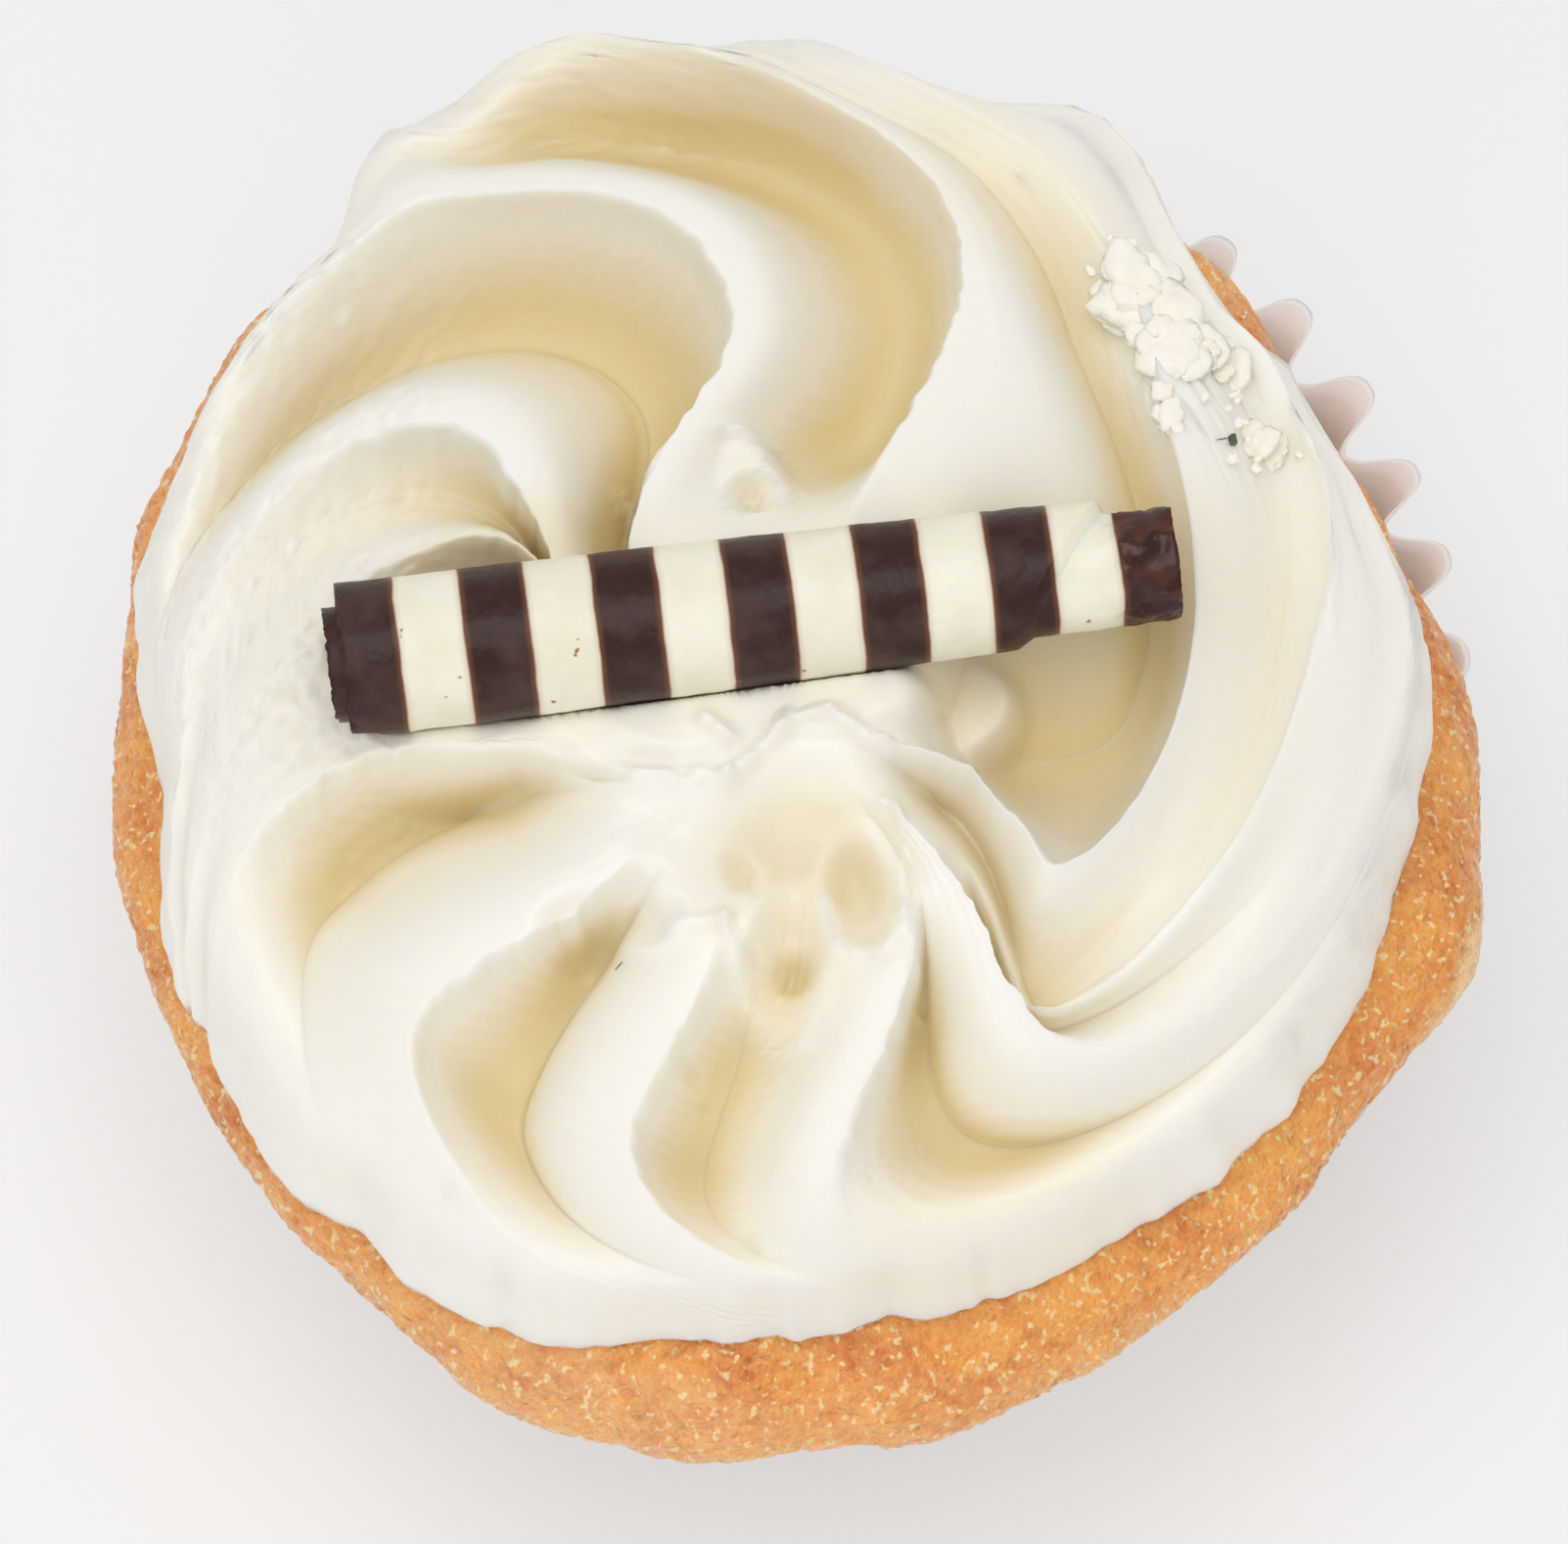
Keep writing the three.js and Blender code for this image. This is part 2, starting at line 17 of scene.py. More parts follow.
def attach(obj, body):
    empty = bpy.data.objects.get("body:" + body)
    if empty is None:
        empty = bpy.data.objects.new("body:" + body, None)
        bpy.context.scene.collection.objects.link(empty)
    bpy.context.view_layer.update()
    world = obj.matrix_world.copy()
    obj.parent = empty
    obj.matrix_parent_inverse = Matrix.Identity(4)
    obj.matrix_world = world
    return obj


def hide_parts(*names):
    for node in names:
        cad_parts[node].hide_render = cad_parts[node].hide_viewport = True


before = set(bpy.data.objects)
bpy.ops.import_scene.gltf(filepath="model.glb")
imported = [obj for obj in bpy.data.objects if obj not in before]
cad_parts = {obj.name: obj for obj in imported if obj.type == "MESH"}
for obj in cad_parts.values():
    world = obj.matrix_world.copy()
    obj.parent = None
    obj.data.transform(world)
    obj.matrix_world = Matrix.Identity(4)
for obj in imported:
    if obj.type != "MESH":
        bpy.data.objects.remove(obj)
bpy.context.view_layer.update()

MM = 0.001
print("solids:", sorted(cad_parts))

# %% [markdown]
# ## Camera, light and table
# The cupcake is looked down on from 17 degrees off the vertical, from nearly half a
# metre away, which keeps its circle almost round. Icing looks soft under soft light, so
# a pale room does most of the work. One square lamp hangs nearly straight above, which
# lets the ridges stand out on every side alike, and a weak one in front brightens the
# near skirt. A plain white table is enough: its only job is to carry the shadow.

# %% Camera
VIEW_ELEVATION = 73           # degrees above the table
VIEW_DISTANCE = 450
VIEW_TARGET = (0, 0, 38)      # a point inside the swirl
SENSOR = 36
LENS = 199.5
SHIFT = (-0.0206, -0.0284)    # as shares of the frame
NEAREST_SEEN = 10

camera = bpy.data.objects.new("camera", bpy.data.cameras.new("camera"))
bpy.context.scene.collection.objects.link(camera)
bpy.context.scene.camera = camera
elevation = math.radians(VIEW_ELEVATION)
toward_camera = Vector((0, -math.cos(elevation), math.sin(elevation)))
camera.location = (Vector(VIEW_TARGET) + toward_camera * VIEW_DISTANCE) * MM
camera.rotation_euler = toward_camera.to_track_quat("Z", "Y").to_euler()
camera.data.sensor_width = SENSOR
camera.data.lens = LENS
camera.data.shift_x, camera.data.shift_y = SHIFT
camera.data.clip_start = NEAREST_SEEN * MM
print("camera at", [round(v, 3) for v in camera.location])


# %% Lights
Lamp = namedtuple("Lamp", "name place size watts")   # places and sizes in metres
LAMPS = [
    Lamp("key_light", (-0.03, 0.0, 0.53), 0.30, 0.75),
    Lamp("front_light", (-0.05, -0.48, 0.15), 0.25, 0.24),
]
ROOM_COLOUR = (1, 0.995, 0.985, 1)
ROOM_STRENGTH = 0.68


def add_lamp(lamp):
    """A square lamp, turned to the cupcake."""
    light = bpy.data.lights.new(lamp.name, "AREA")
    light.size = lamp.size
    light.energy = lamp.watts
    holder = bpy.data.objects.new(lamp.name, light)
    holder.location = lamp.place
    aim = Vector(VIEW_TARGET) * MM - Vector(lamp.place)
    holder.rotation_euler = aim.to_track_quat("-Z", "Y").to_euler()
    bpy.context.scene.collection.objects.link(holder)


world = bpy.data.worlds.new("pale_room")
world.use_nodes = True
room = world.node_tree.nodes["Background"]
room.inputs["Color"].default_value = ROOM_COLOUR
room.inputs["Strength"].default_value = ROOM_STRENGTH
bpy.context.scene.world = world
for lamp in LAMPS:
    add_lamp(lamp)
bpy.context.scene.view_settings.view_transform = "Standard"
print(len(LAMPS), "lamps in a pale room")

# %% [markdown]
# ## Helpers for shapes
# All of the food here is a closed skin over rings of points: the rings of a body have
# the same count, so quads join them. Numpy works out whole rings at once. Where the
# surface is rough, points are pushed in and out along their normals by soft noise,
# which gives real relief, and only the finest grain is left to the materials.


# %% Curves and noise
def smooth(start, end, x):
    """0 before start, 1 after end, and a soft step between."""
    u = np.clip((x - start) / (end - start), 0, 1)
    return u * u * (3 - 2 * u)


def lerp(a, b, t):
    """From a to b by the share t."""
    return a + (b - a) * t


def bell(distance, width):
    """1 at no distance, falling softly to nothing past the width."""
    return np.exp(-((distance / width) ** 2))


def soft_noise(points, size, octaves=1, seed=0):
    """Noise from about -1 to 1 at points in mm, with lumps of about that size."""
    points = np.asarray(points, float)
    shift = np.array([17.3, 5.1, 9.7]) * (seed + 1)
    places = (points.reshape(-1, 3) / size + shift).tolist()
    values = [noise.fractal(place, 1.0, 2.0, octaves) for place in places]
    return np.array(values).reshape(points.shape[:-1])


def clump_noise(points, size, seed=0):
    """0 in the gaps between rounded clumps of about that size, up to 1 on their tops."""
    points = np.asarray(points, float)
    places = (points.reshape(-1, 3) / size + 3.7 * (seed + 1)).tolist()
    gaps = []
    for place in places:
        near, next_near = noise.voronoi(place)[0][:2]
        gaps.append(next_near - near)
    return np.clip(np.array(gaps).reshape(points.shape[:-1]), 0, 1)


# %% Meshes
def mesh_piece(name, points, faces):
    """A smooth mesh object from points in mm."""
    mesh = bpy.data.meshes.new(name)
    mesh.from_pydata((np.asarray(points, float) * MM).tolist(), [], faces)
    mesh.shade_smooth()
    piece = bpy.data.objects.new(name, mesh)
    bpy.context.scene.collection.objects.link(piece)
    return piece


def ring_body(name, first, rings, last):
    """A closed body from a first point, rows of equal rings and a last point. Rings
    run anticlockwise seen from the end that the body grows towards."""
    rings = np.asarray(rings, float)
    rows, count = rings.shape[:2]
    here = np.arange(count)
    beside = (here + 1) % count
    faces = np.stack([here * 0, 1 + beside, 1 + here], 1).tolist()
    for row in range(rows - 1):
        low = 1 + row * count
        high = low + count
        faces += np.stack([low + here, low + beside, high + beside, high + here], 1).tolist()
    top = 1 + (rows - 1) * count
    faces += np.stack([here * 0 + 1 + rows * count, top + here, top + beside], 1).tolist()
    return mesh_piece(name, np.vstack([[first], rings.reshape(-1, 3), [last]]), faces)


def points_of(piece):
    """A piece's points in mm."""
    flat = np.zeros(len(piece.data.vertices) * 3, np.float32)
    piece.data.vertices.foreach_get("co", flat)
    return flat.reshape(-1, 3).astype(float) / MM


def push_out(piece, amounts):
    """Moves each point along its normal by an amount in mm."""
    normals = np.zeros(len(piece.data.vertices) * 3, np.float32)
    piece.data.vertex_normals.foreach_get("vector", normals)
    moved = points_of(piece) + normals.reshape(-1, 3) * np.asarray(amounts)[:, None]
    piece.data.vertices.foreach_set("co", (moved * MM).astype(np.float32).ravel())
    piece.data.update()


def store(piece, name, values):
    """Keeps a number for each point, for its material to read."""
    layer = piece.data.attributes.new(name, "FLOAT", "POINT")
    layer.data.foreach_set("value", np.asarray(values, np.float32).ravel())


def place_piece(piece, node, material):
    """Hides the solid a piece stands for, hangs the piece on the root, and gives it its finish."""
    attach(piece, "root")
    if node:
        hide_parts(node)
    piece.data.materials.append(material)
    print(f"{piece.name}: {len(piece.data.polygons)} faces")


# %% [markdown]
# ## Shader groups
# Baked crust, paper, icing and chocolate all vary softly in tone and carry a fine
# grain. Each effect is one group with named inputs, placed in every material with its
# own values. The groups only give masks and heights, and the shader itself stays in
# the material, where its constant values sit on their own sockets.


# %% Group helpers
def new_group(name, inputs, outputs):
    """An empty shader group with number inputs {name: default} and number outputs."""
    group = bpy.data.node_groups.new(name, "ShaderNodeTree")
    for title, default in inputs.items():
        socket = group.interface.new_socket(title, in_out="INPUT", socket_type="NodeSocketFloat")
        socket.default_value = default
    for title in outputs:
        group.interface.new_socket(title, in_out="OUTPUT", socket_type="NodeSocketFloat")
    return group, group.nodes.new("NodeGroupInput"), group.nodes.new("NodeGroupOutput")


def place_points(tree):
    """The object's own coordinates, in metres."""
    return tree.nodes.new("ShaderNodeTexCoord").outputs["Object"]


def feed(tree, socket, value):
    """Links an output into a socket, or sets the socket's value."""
    if isinstance(value, bpy.types.NodeSocket):
        tree.links.new(value, socket)
    else:
        socket.default_value = value


def drawn_out_points(tree, x, y, z):
    """The object's coordinates scaled on each axis: below 1 draws a pattern out."""
    node = tree.nodes.new("ShaderNodeVectorMath")
    node.operation = "MULTIPLY"
    tree.links.new(place_points(tree), node.inputs[0])
    node.inputs[1].default_value = (x, y, z)
    return node.outputs[0]


def noise_node(tree, vector, scale, detail):
    node = tree.nodes.new("ShaderNodeTexNoise")
    feed(tree, node.inputs["Vector"], vector)
    feed(tree, node.inputs["Scale"], scale)
    feed(tree, node.inputs["Detail"], detail)
    return node.outputs["Fac"]


def remap(tree, value, low, high, to_low=0.0, to_high=1.0):
    """Spreads a range of a value over another, and holds it there."""
    node = tree.nodes.new("ShaderNodeMapRange")
    for socket, number in zip(node.inputs, (value, low, high, to_low, to_high)):
        feed(tree, socket, number)
    return node.outputs["Result"]


def maths(tree, operation, first, second=0.0):
    node = tree.nodes.new("ShaderNodeMath")
    node.operation = operation
    feed(tree, node.inputs[0], first)
    feed(tree, node.inputs[1], second)
    return node.outputs[0]


def times(tree, first, second):
    return maths(tree, "MULTIPLY", first, second)


def blend_colours(tree, mask, first, second):
    node = tree.nodes.new("ShaderNodeMix")
    node.data_type = "RGBA"
    feed(tree, node.inputs["Factor"], mask)
    feed(tree, node.inputs["A"], first)
    feed(tree, node.inputs["B"], second)
    return node.outputs["Result"]


# %% Group: mottling
mottling, group_in, group_out = new_group(
    "mottling", {"Patch size": 0.004, "Low": 0.4, "High": 0.6}, ["Mask"])
patch_scale = maths(mottling, "DIVIDE", 1.0, group_in.outputs["Patch size"])
patches = noise_node(mottling, place_points(mottling), patch_scale, 3.0)
mask = remap(mottling, patches, group_in.outputs["Low"], group_in.outputs["High"])
mottling.links.new(mask, group_out.inputs["Mask"])
print("mottling:", len(mottling.nodes), "nodes")

# %% Group: grain
grain, group_in, group_out = new_group(
    "grain", {"Grain size": 0.0004, "Roundness": 0.5}, ["Height"])
grain_scale = maths(grain, "DIVIDE", 1.0, group_in.outputs["Grain size"])
fine = noise_node(grain, place_points(grain), grain_scale, 2.0)
cells = grain.nodes.new("ShaderNodeTexVoronoi")
grain.links.new(place_points(grain), cells.inputs["Vector"])
grain.links.new(grain_scale, cells.inputs["Scale"])
rounded = maths(grain, "SUBTRACT", 1.0, cells.outputs["Distance"])
mixer = grain.nodes.new("ShaderNodeMix")
grain.links.new(group_in.outputs["Roundness"], mixer.inputs["Factor"])
grain.links.new(fine, mixer.inputs["A"])
grain.links.new(rounded, mixer.inputs["B"])
grain.links.new(mixer.outputs["Result"], group_out.inputs["Height"])
print("grain:", len(grain.nodes), "nodes")


# %% Material helpers
def new_material(name, **sockets):
    """A material with one Principled shader, and its constant values set on it."""
    material = bpy.data.materials.new(name)
    material.use_nodes = True
    shader = material.node_tree.nodes["Principled BSDF"]
    for title, value in sockets.items():
        shader.inputs[title.replace("_", " ")].default_value = value
    return material, material.node_tree, shader


def use_group(tree, group, output, **values):
    node = tree.nodes.new("ShaderNodeGroup")
    node.node_tree = group
    for title, value in values.items():
        node.inputs[title.replace("_", " ")].default_value = value
    return node.outputs[output]


def patchy(tree, patch_size, low, high):
    """A mask of soft patches of a size in metres, from a low to a high level of noise."""
    return use_group(tree, mottling, "Mask", Patch_size=patch_size, Low=low, High=high)


def attribute(tree, name):
    node = tree.nodes.new("ShaderNodeAttribute")
    node.attribute_name = name
    return node.outputs["Fac"]


def lay_over(tree, colour, layers):
    """A colour with others laid over it in turn, each through its own mask."""
    for mask, over in layers:
        colour = blend_colours(tree, mask, colour, over)
    return colour


def paint(tree, shader, colour, layers):
    """Gives the shader a base colour with others laid over it."""
    feed(tree, shader.inputs["Base Color"], lay_over(tree, colour, layers))


def add_grain(tree, shader, grain_size, roundness, depth):
    """Puts fine grain, with its size and depth in metres, on the shader's normal."""
    height = use_group(tree, grain, "Height", Grain_size=grain_size, Roundness=roundness)
    node = tree.nodes.new("ShaderNodeBump")
    node.inputs["Distance"].default_value = depth
    tree.links.new(height, node.inputs["Height"])
    tree.links.new(node.outputs["Normal"], shader.inputs["Normal"])


# %% [markdown]
# ## Table
# A large white square just under the case. It belongs to the stage and not to the
# cupcake.

# %% Table
TABLE_HALF = 3000
TABLE_GREY = (0.93, 0.93, 0.93, 1)
TABLE_WHITE = (0.96, 0.96, 0.96, 1)
corner_signs = ((-1, -1), (1, -1), (1, 1), (-1, 1))
table_corners = [(x * TABLE_HALF, y * TABLE_HALF, 0) for x, y in corner_signs]
table = mesh_piece("table", table_corners, [(0, 1, 2, 3)])
white_table, tree, shader = new_material("white_table", Roughness=0.7)
paint(tree, shader, TABLE_GREY, [(patchy(tree, 0.3, 0.3, 0.7), TABLE_WHITE)])
table.data.materials.append(white_table)
print("table:", 2 * TABLE_HALF, "mm wide")

# %% [markdown]
# ## Paper case
# A disc of greaseproof paper pressed into pleats, so its wall is a ring of round
# lobes with narrow folds between them. A wave round the wall gives the pleats, made
# deeper towards the rim, and a little noise moves them, because no two are alike. The
# paper is thin, white with a pink cast from the crumb behind it, and lets some light
# through.

# %% Paper case: shape
CASE_HEIGHT = 32.0
CASE_BASE_RADIUS = 24.5
CASE_RIM_RADIUS = 34.1
CASE_RIM_CENTRE = (-0.65, 0.81)   # the cake leans a little, and takes the rim with it
CASE_PAPER = 0.35
CASE_FLUTES = 42
CASE_FLUTE_DEPTH_BASE = 0.25
CASE_FLUTE_DEPTH_RIM = 1.1
CASE_CORNER = 0.9
STEPS_PER_PLEAT = 16
WALL_STEPS = 26
PLEAT_WANDER = 0.35           # how far a pleat strays from its even place, in pleats
FOLD_NARROWING = 1.5          # how much narrower than the lobes the folds are
WALL_SWAY = 0.12              # how far the rim sways in and out, in mm
LOBE_FLARE = 1.1              # how far a lobe bends outward at the rim, in mm
FLARE_HEIGHT = 3.0            # over this height below the rim
FLARE_BEARING = math.radians(42)   # where the sponge leaves the lobes the most room
FLARE_WIDTH = 0.50            # half-width of that side, in radians


def case_radius(z):
    return lerp(CASE_BASE_RADIUS, CASE_RIM_RADIUS, z / CASE_HEIGHT)


def flute_depth(z):
    return lerp(CASE_FLUTE_DEPTH_BASE, CASE_FLUTE_DEPTH_RIM, z / CASE_HEIGHT)


def case_centre(z):
    """Middle of the case's wall at a height, on the plan."""
    return np.array(CASE_RIM_CENTRE) * z / CASE_HEIGHT


def pleat_wave(turn, z):
    """1 on a lobe and -1 in a fold, with broad lobes and narrow folds."""
    round_way = np.stack([np.cos(turn), np.sin(turn), 0 * turn + z / 60], 1) * 10
    wander = PLEAT_WANDER * soft_noise(round_way, 5, seed=1)
    wave = (1 + np.cos(turn * CASE_FLUTES + 2 * math.pi * wander)) / 2
    return 1 - 2 * (1 - wave) ** FOLD_NARROWING


def make_paper_case():
    turn = np.linspace(0, 2 * math.pi, CASE_FLUTES * STEPS_PER_PLEAT, endpoint=False)
    around = np.stack([np.cos(turn), np.sin(turn)], 1)

    def wall(z, inward):
        sway = WALL_SWAY * soft_noise(np.column_stack([around * 30, 0 * turn + z]), 6, seed=2)
        wave = pleat_wave(turn, z)
        away = (turn - FLARE_BEARING + math.pi) % (2 * math.pi) - math.pi
        flare = LOBE_FLARE * np.sqrt(np.clip(wave, 0, 1)) * bell(away, FLARE_WIDTH)
        flare = flare * max(0, 1 - (CASE_HEIGHT - z) / FLARE_HEIGHT) ** 2
        radius = case_radius(z) - inward + flute_depth(z) * wave + flare + sway * z / CASE_HEIGHT
        return np.column_stack([case_centre(z) + around * radius[:, None], 0 * turn + z])

    def disc(radius, z):
        return np.column_stack([around * radius, 0 * turn + z])

    levels = np.linspace(CASE_CORNER, CASE_HEIGHT, WALL_STEPS)
    inner_levels = np.linspace(CASE_HEIGHT, CASE_CORNER + CASE_PAPER, WALL_STEPS)
    floor_radius = CASE_BASE_RADIUS - CASE_CORNER
    rings = [disc(floor_radius * 0.5, 0), disc(floor_radius, 0)]
    rings += [wall(z, 0) for z in levels]
    rings += [wall(z, CASE_PAPER) for z in inner_levels]
    rings += [disc(floor_radius - CASE_PAPER, CASE_PAPER), disc(floor_radius * 0.5, CASE_PAPER)]
    return ring_body("pleated_case", (0, 0, 0), rings, (0, 0, CASE_PAPER))


# %% [markdown]
# Greaseproof paper is nearly even in tone, with a few specks of pulp and a fine nap. A
# picture of paper would show its seams, so two masks of noise lay a paler white and the
# specks over a pinkish white, and a little scattering lets the light into it.

# %% Paper case: finish
PAPER_PINK = (0.90, 0.85, 0.84, 1)
PAPER_WHITE = (0.94, 0.90, 0.89, 1)
PULP_SPECK = (0.62, 0.50, 0.46, 1)

paper, tree, shader = new_material(
    "greaseproof_paper", Roughness=0.62, Subsurface_Weight=0.6, Subsurface_Scale=0.0010,
    Specular_IOR_Level=0.35, Subsurface_Radius=(1.0, 0.92, 0.88))
paint(tree, shader, PAPER_PINK, [
    (patchy(tree, 0.006, 0.35, 0.65), PAPER_WHITE),
    (patchy(tree, 0.0011, 0.74, 0.78), PULP_SPECK),
])
add_grain(tree, shader, 0.00025, 0.15, 0.00003)

pleated_case = make_paper_case()
place_piece(pleated_case, "paper_case", paper)

# %% [markdown]
# ## Sponge
# The sponge filled its case and rose over the rim, so its baked top is a dome with a
# rounded lip. Only its edge shows, but the dome is whole. The crust is glossy and
# crinkled: it dried and wrinkled over the crumb, with short ridges less than half a
# millimetre wide, pin holes, and a paler skin where it bulged over the paper last.
# Lumps of its outline follow named bells, and ridged noise pushed along the normals
# gives the wrinkles.

# %% Sponge: outline and dome
GAP = 0.35
SPONGE_CENTRE = (-1.3, -1.2)
SPONGE_RADIUS = 35.8
SPONGE_WIDEST_Z = 34.5
SPONGE_CROWN_RISE = 10
SPONGE_LIP_Z = 32.5
SPONGE_COLUMNS = 660
SPONGE_LIP_ROUNDING = 1.9
WALL_SHARES = (0.5, 0.9, 1)   # of the way up to the lip, where the wall's rings lie
LIP_ARC = (-90, -10)          # degrees of the lip's rounding that its rows cover
LIP_ROWS = 9
CRUST_ROWS = 52               # rows on the part of the dome that shows
CRUST_DOWN_TO = 42            # where they end, in degrees up the dome's arc
CROWN_ROWS = 8                # rows on the hidden part
OVERHANG_FROM = 0.985         # share of the dome's reach past which the icing overhangs

Lump = namedtuple("Lump", "bearing width reach")
SPONGE_LUMPS = [
    Lump(3, 8, 0.3), Lump(18, 9, -1.5), Lump(34, 10, -2.1), Lump(104, 24, 2.7),
    Lump(140, 12, 1.7), Lump(158, 8, 1.0), Lump(176, 9, -0.4), Lump(204, 12, -0.5),
    Lump(248, 9, 1.7), Lump(263, 7, 1.5), Lump(280, 8, 0.9), Lump(308, 10, -0.7),
    Lump(326, 9, -0.8), Lump(344, 8, 1.6),
]


def lump_reach(lumps, bearing):
    """Outward reach of all lumps at bearings in degrees, each a soft bell."""
    total = np.zeros_like(bearing, dtype=float)
    for lump in lumps:
        away = (bearing - lump.bearing + 540) % 360 - 180
        total += lump.reach * bell(away, lump.width)
    return total


def sponge_reach(bearing):
    return SPONGE_RADIUS + lump_reach(SPONGE_LUMPS, bearing)


def dome_z(share):
    """Height of the muffin top's dome at a share of its reach."""
    return SPONGE_WIDEST_Z + SPONGE_CROWN_RISE * np.sqrt(np.clip(1 - share ** 3, 0, 1))


def seat_z(x, y):
    """Height of the icing's underside: on the dome, and rising again where it hangs
    over the dome's edge."""
    dx = x - SPONGE_CENTRE[0]
    dy = y - SPONGE_CENTRE[1]
    bearing = np.degrees(np.arctan2(dy, dx)) % 360
    share = np.hypot(dx, dy) / sponge_reach(bearing)
    return dome_z(np.minimum(share, 2 * OVERHANG_FROM - share)) + GAP


# %% Sponge: body
def make_sponge():
    bearing = np.linspace(0, 360, SPONGE_COLUMNS, endpoint=False)
    turn = np.radians(bearing)
    around = np.stack([np.cos(turn), np.sin(turn)], 1)

    def in_case(z):
        return case_radius(z) - flute_depth(z) - CASE_PAPER - GAP

    def flat(radius, z):
        return np.column_stack([case_centre(min(z, CASE_HEIGHT)) + around * radius, 0 * turn + z])

    def lobed(reach, z):
        return np.column_stack([np.array(SPONGE_CENTRE) + around * reach[:, None], 0 * turn + z])

    bottom = CASE_PAPER + GAP
    corner = bottom + CASE_CORNER
    neck = in_case(CASE_HEIGHT) - GAP
    rings = [flat(in_case(bottom) - CASE_CORNER, bottom), flat(in_case(corner), corner)]
    for t in WALL_SHARES:
        rings.append(flat(lerp(in_case(corner), neck, t), lerp(corner, SPONGE_LIP_Z, t)))
    lip_depth = SPONGE_WIDEST_Z - SPONGE_LIP_Z
    for angle in np.radians(np.linspace(*LIP_ARC, LIP_ROWS)):
        inset = SPONGE_LIP_ROUNDING * (1 - math.cos(angle))
        lip_z = SPONGE_WIDEST_Z + lip_depth * math.sin(angle)
        rings.append(lobed(sponge_reach(bearing) - inset, lip_z))
    crust_shares = np.sin(np.radians(np.linspace(90, CRUST_DOWN_TO, CRUST_ROWS)))
    crown_shares = np.linspace(crust_shares[-1], 0, CROWN_ROWS)[1:-1]
    for share in [*crust_shares, *crown_shares]:
        rings.append(lobed(share * sponge_reach(bearing), dome_z(share)))
    crown = (*SPONGE_CENTRE, dome_z(0))
    return ring_body("baked_sponge", (0, 0, bottom), rings, crown)


# %% Sponge: wrinkles
BAKED_FROM = (-0.3, 1.0)      # mm from the lip between which the baked skin begins
CRUST_TOP = 0.25              # how far the tallest wrinkle may stand out
DENT_DEPTH = 0.25
WRINKLE_HEIGHT = 0.34
THREAD_HEIGHT = 0.20
PIN_HOLE_DEPTH = 0.5
CRUST_SUNK = 0.15             # how far the crust lies in, so that the wrinkles fit outside


def wrinkle_sponge(piece):
    """Pushes the baked top into wrinkles, pin holes and soft dents."""
    points = points_of(piece)
    below, above = BAKED_FROM
    baked = smooth(SPONGE_LIP_Z + below, SPONGE_LIP_Z + above, points[:, 2])
    dents = soft_noise(points, 4.5, 2, seed=3)
    wrinkles = 0.5 - np.abs(soft_noise(points, 1.1, 2, seed=4))
    threads = 0.5 - np.abs(soft_noise(points, 0.6, 1, seed=5))
    holes = smooth(0.55, 0.85, soft_noise(points, 1.3, 1, seed=6))
    relief = DENT_DEPTH * dents + WRINKLE_HEIGHT * wrinkles + THREAD_HEIGHT * threads
    relief = relief - PIN_HOLE_DEPTH * holes - CRUST_SUNK
    push_out(piece, (np.minimum(relief, CRUST_TOP) - CRUST_TOP) * baked)


sponge = make_sponge()
wrinkle_sponge(sponge)

# %% [markdown]
# Sugar and egg brown a crust in patches and freckles, and it stays paler where it rose
# last. One flat orange would look like plastic, so five masks, from broad browning down
# to grains of crumb, are laid over a brown. The pale places follow the shape, so they
# are a number stored for each point. A thin coat over it all gives the baked gloss.

# %% Sponge: where the skin is pale
PALE_BEARINGS = [Lump(338, 28, 1.5), Lump(310, 14, 0.7), Lump(250, 22, 0.3)]
PALE_EDGE = (34.6, 36.4)      # reaches in mm between which the pale skin begins
PALE_WANDER = 0.7             # how far that edge wanders, in mm
PALE_LOW = 0.25               # how pale the skin is under the widest ring
PALE_LOW_FROM = 1.5           # mm over the widest ring where that begins
PALE_LOW_FULL = -1.0          # and where it is full


def pale_share(points):
    """How pale the skin is: most where the sponge bulged over the paper last."""
    bearing = np.degrees(np.arctan2(points[:, 1], points[:, 0])) % 360
    reach = np.hypot(points[:, 0], points[:, 1])
    outer = smooth(*PALE_EDGE, reach + PALE_WANDER * soft_noise(points, 3.0, 2, seed=7))
    low = smooth(PALE_LOW_FROM, PALE_LOW_FULL, points[:, 2] - SPONGE_WIDEST_Z)
    return np.clip(lump_reach(PALE_BEARINGS, bearing) * outer + PALE_LOW * low, 0, 1)


paleness = pale_share(points_of(sponge))
store(sponge, "pale", paleness)
print("pale share of the sponge:", round(float(paleness.mean()), 2))

# %% Sponge: finish
CRUST_BROWN = (0.74, 0.20, 0.024, 1)
CRUST_GOLD = (0.97, 0.39, 0.070, 1)
CRUST_YELLOW = (1.0, 0.52, 0.12, 1)
CRUST_PALE = (1.0, 0.63, 0.29, 1)
CRUST_FRECKLE = (0.55, 0.15, 0.02, 1)
CRUST_FLECK = (1.0, 0.77, 0.38, 1)
FLECK_SCALE = 2300
CRUST_GLOSS = (0.22, 0.55)    # roughness between which the crust's gloss varies

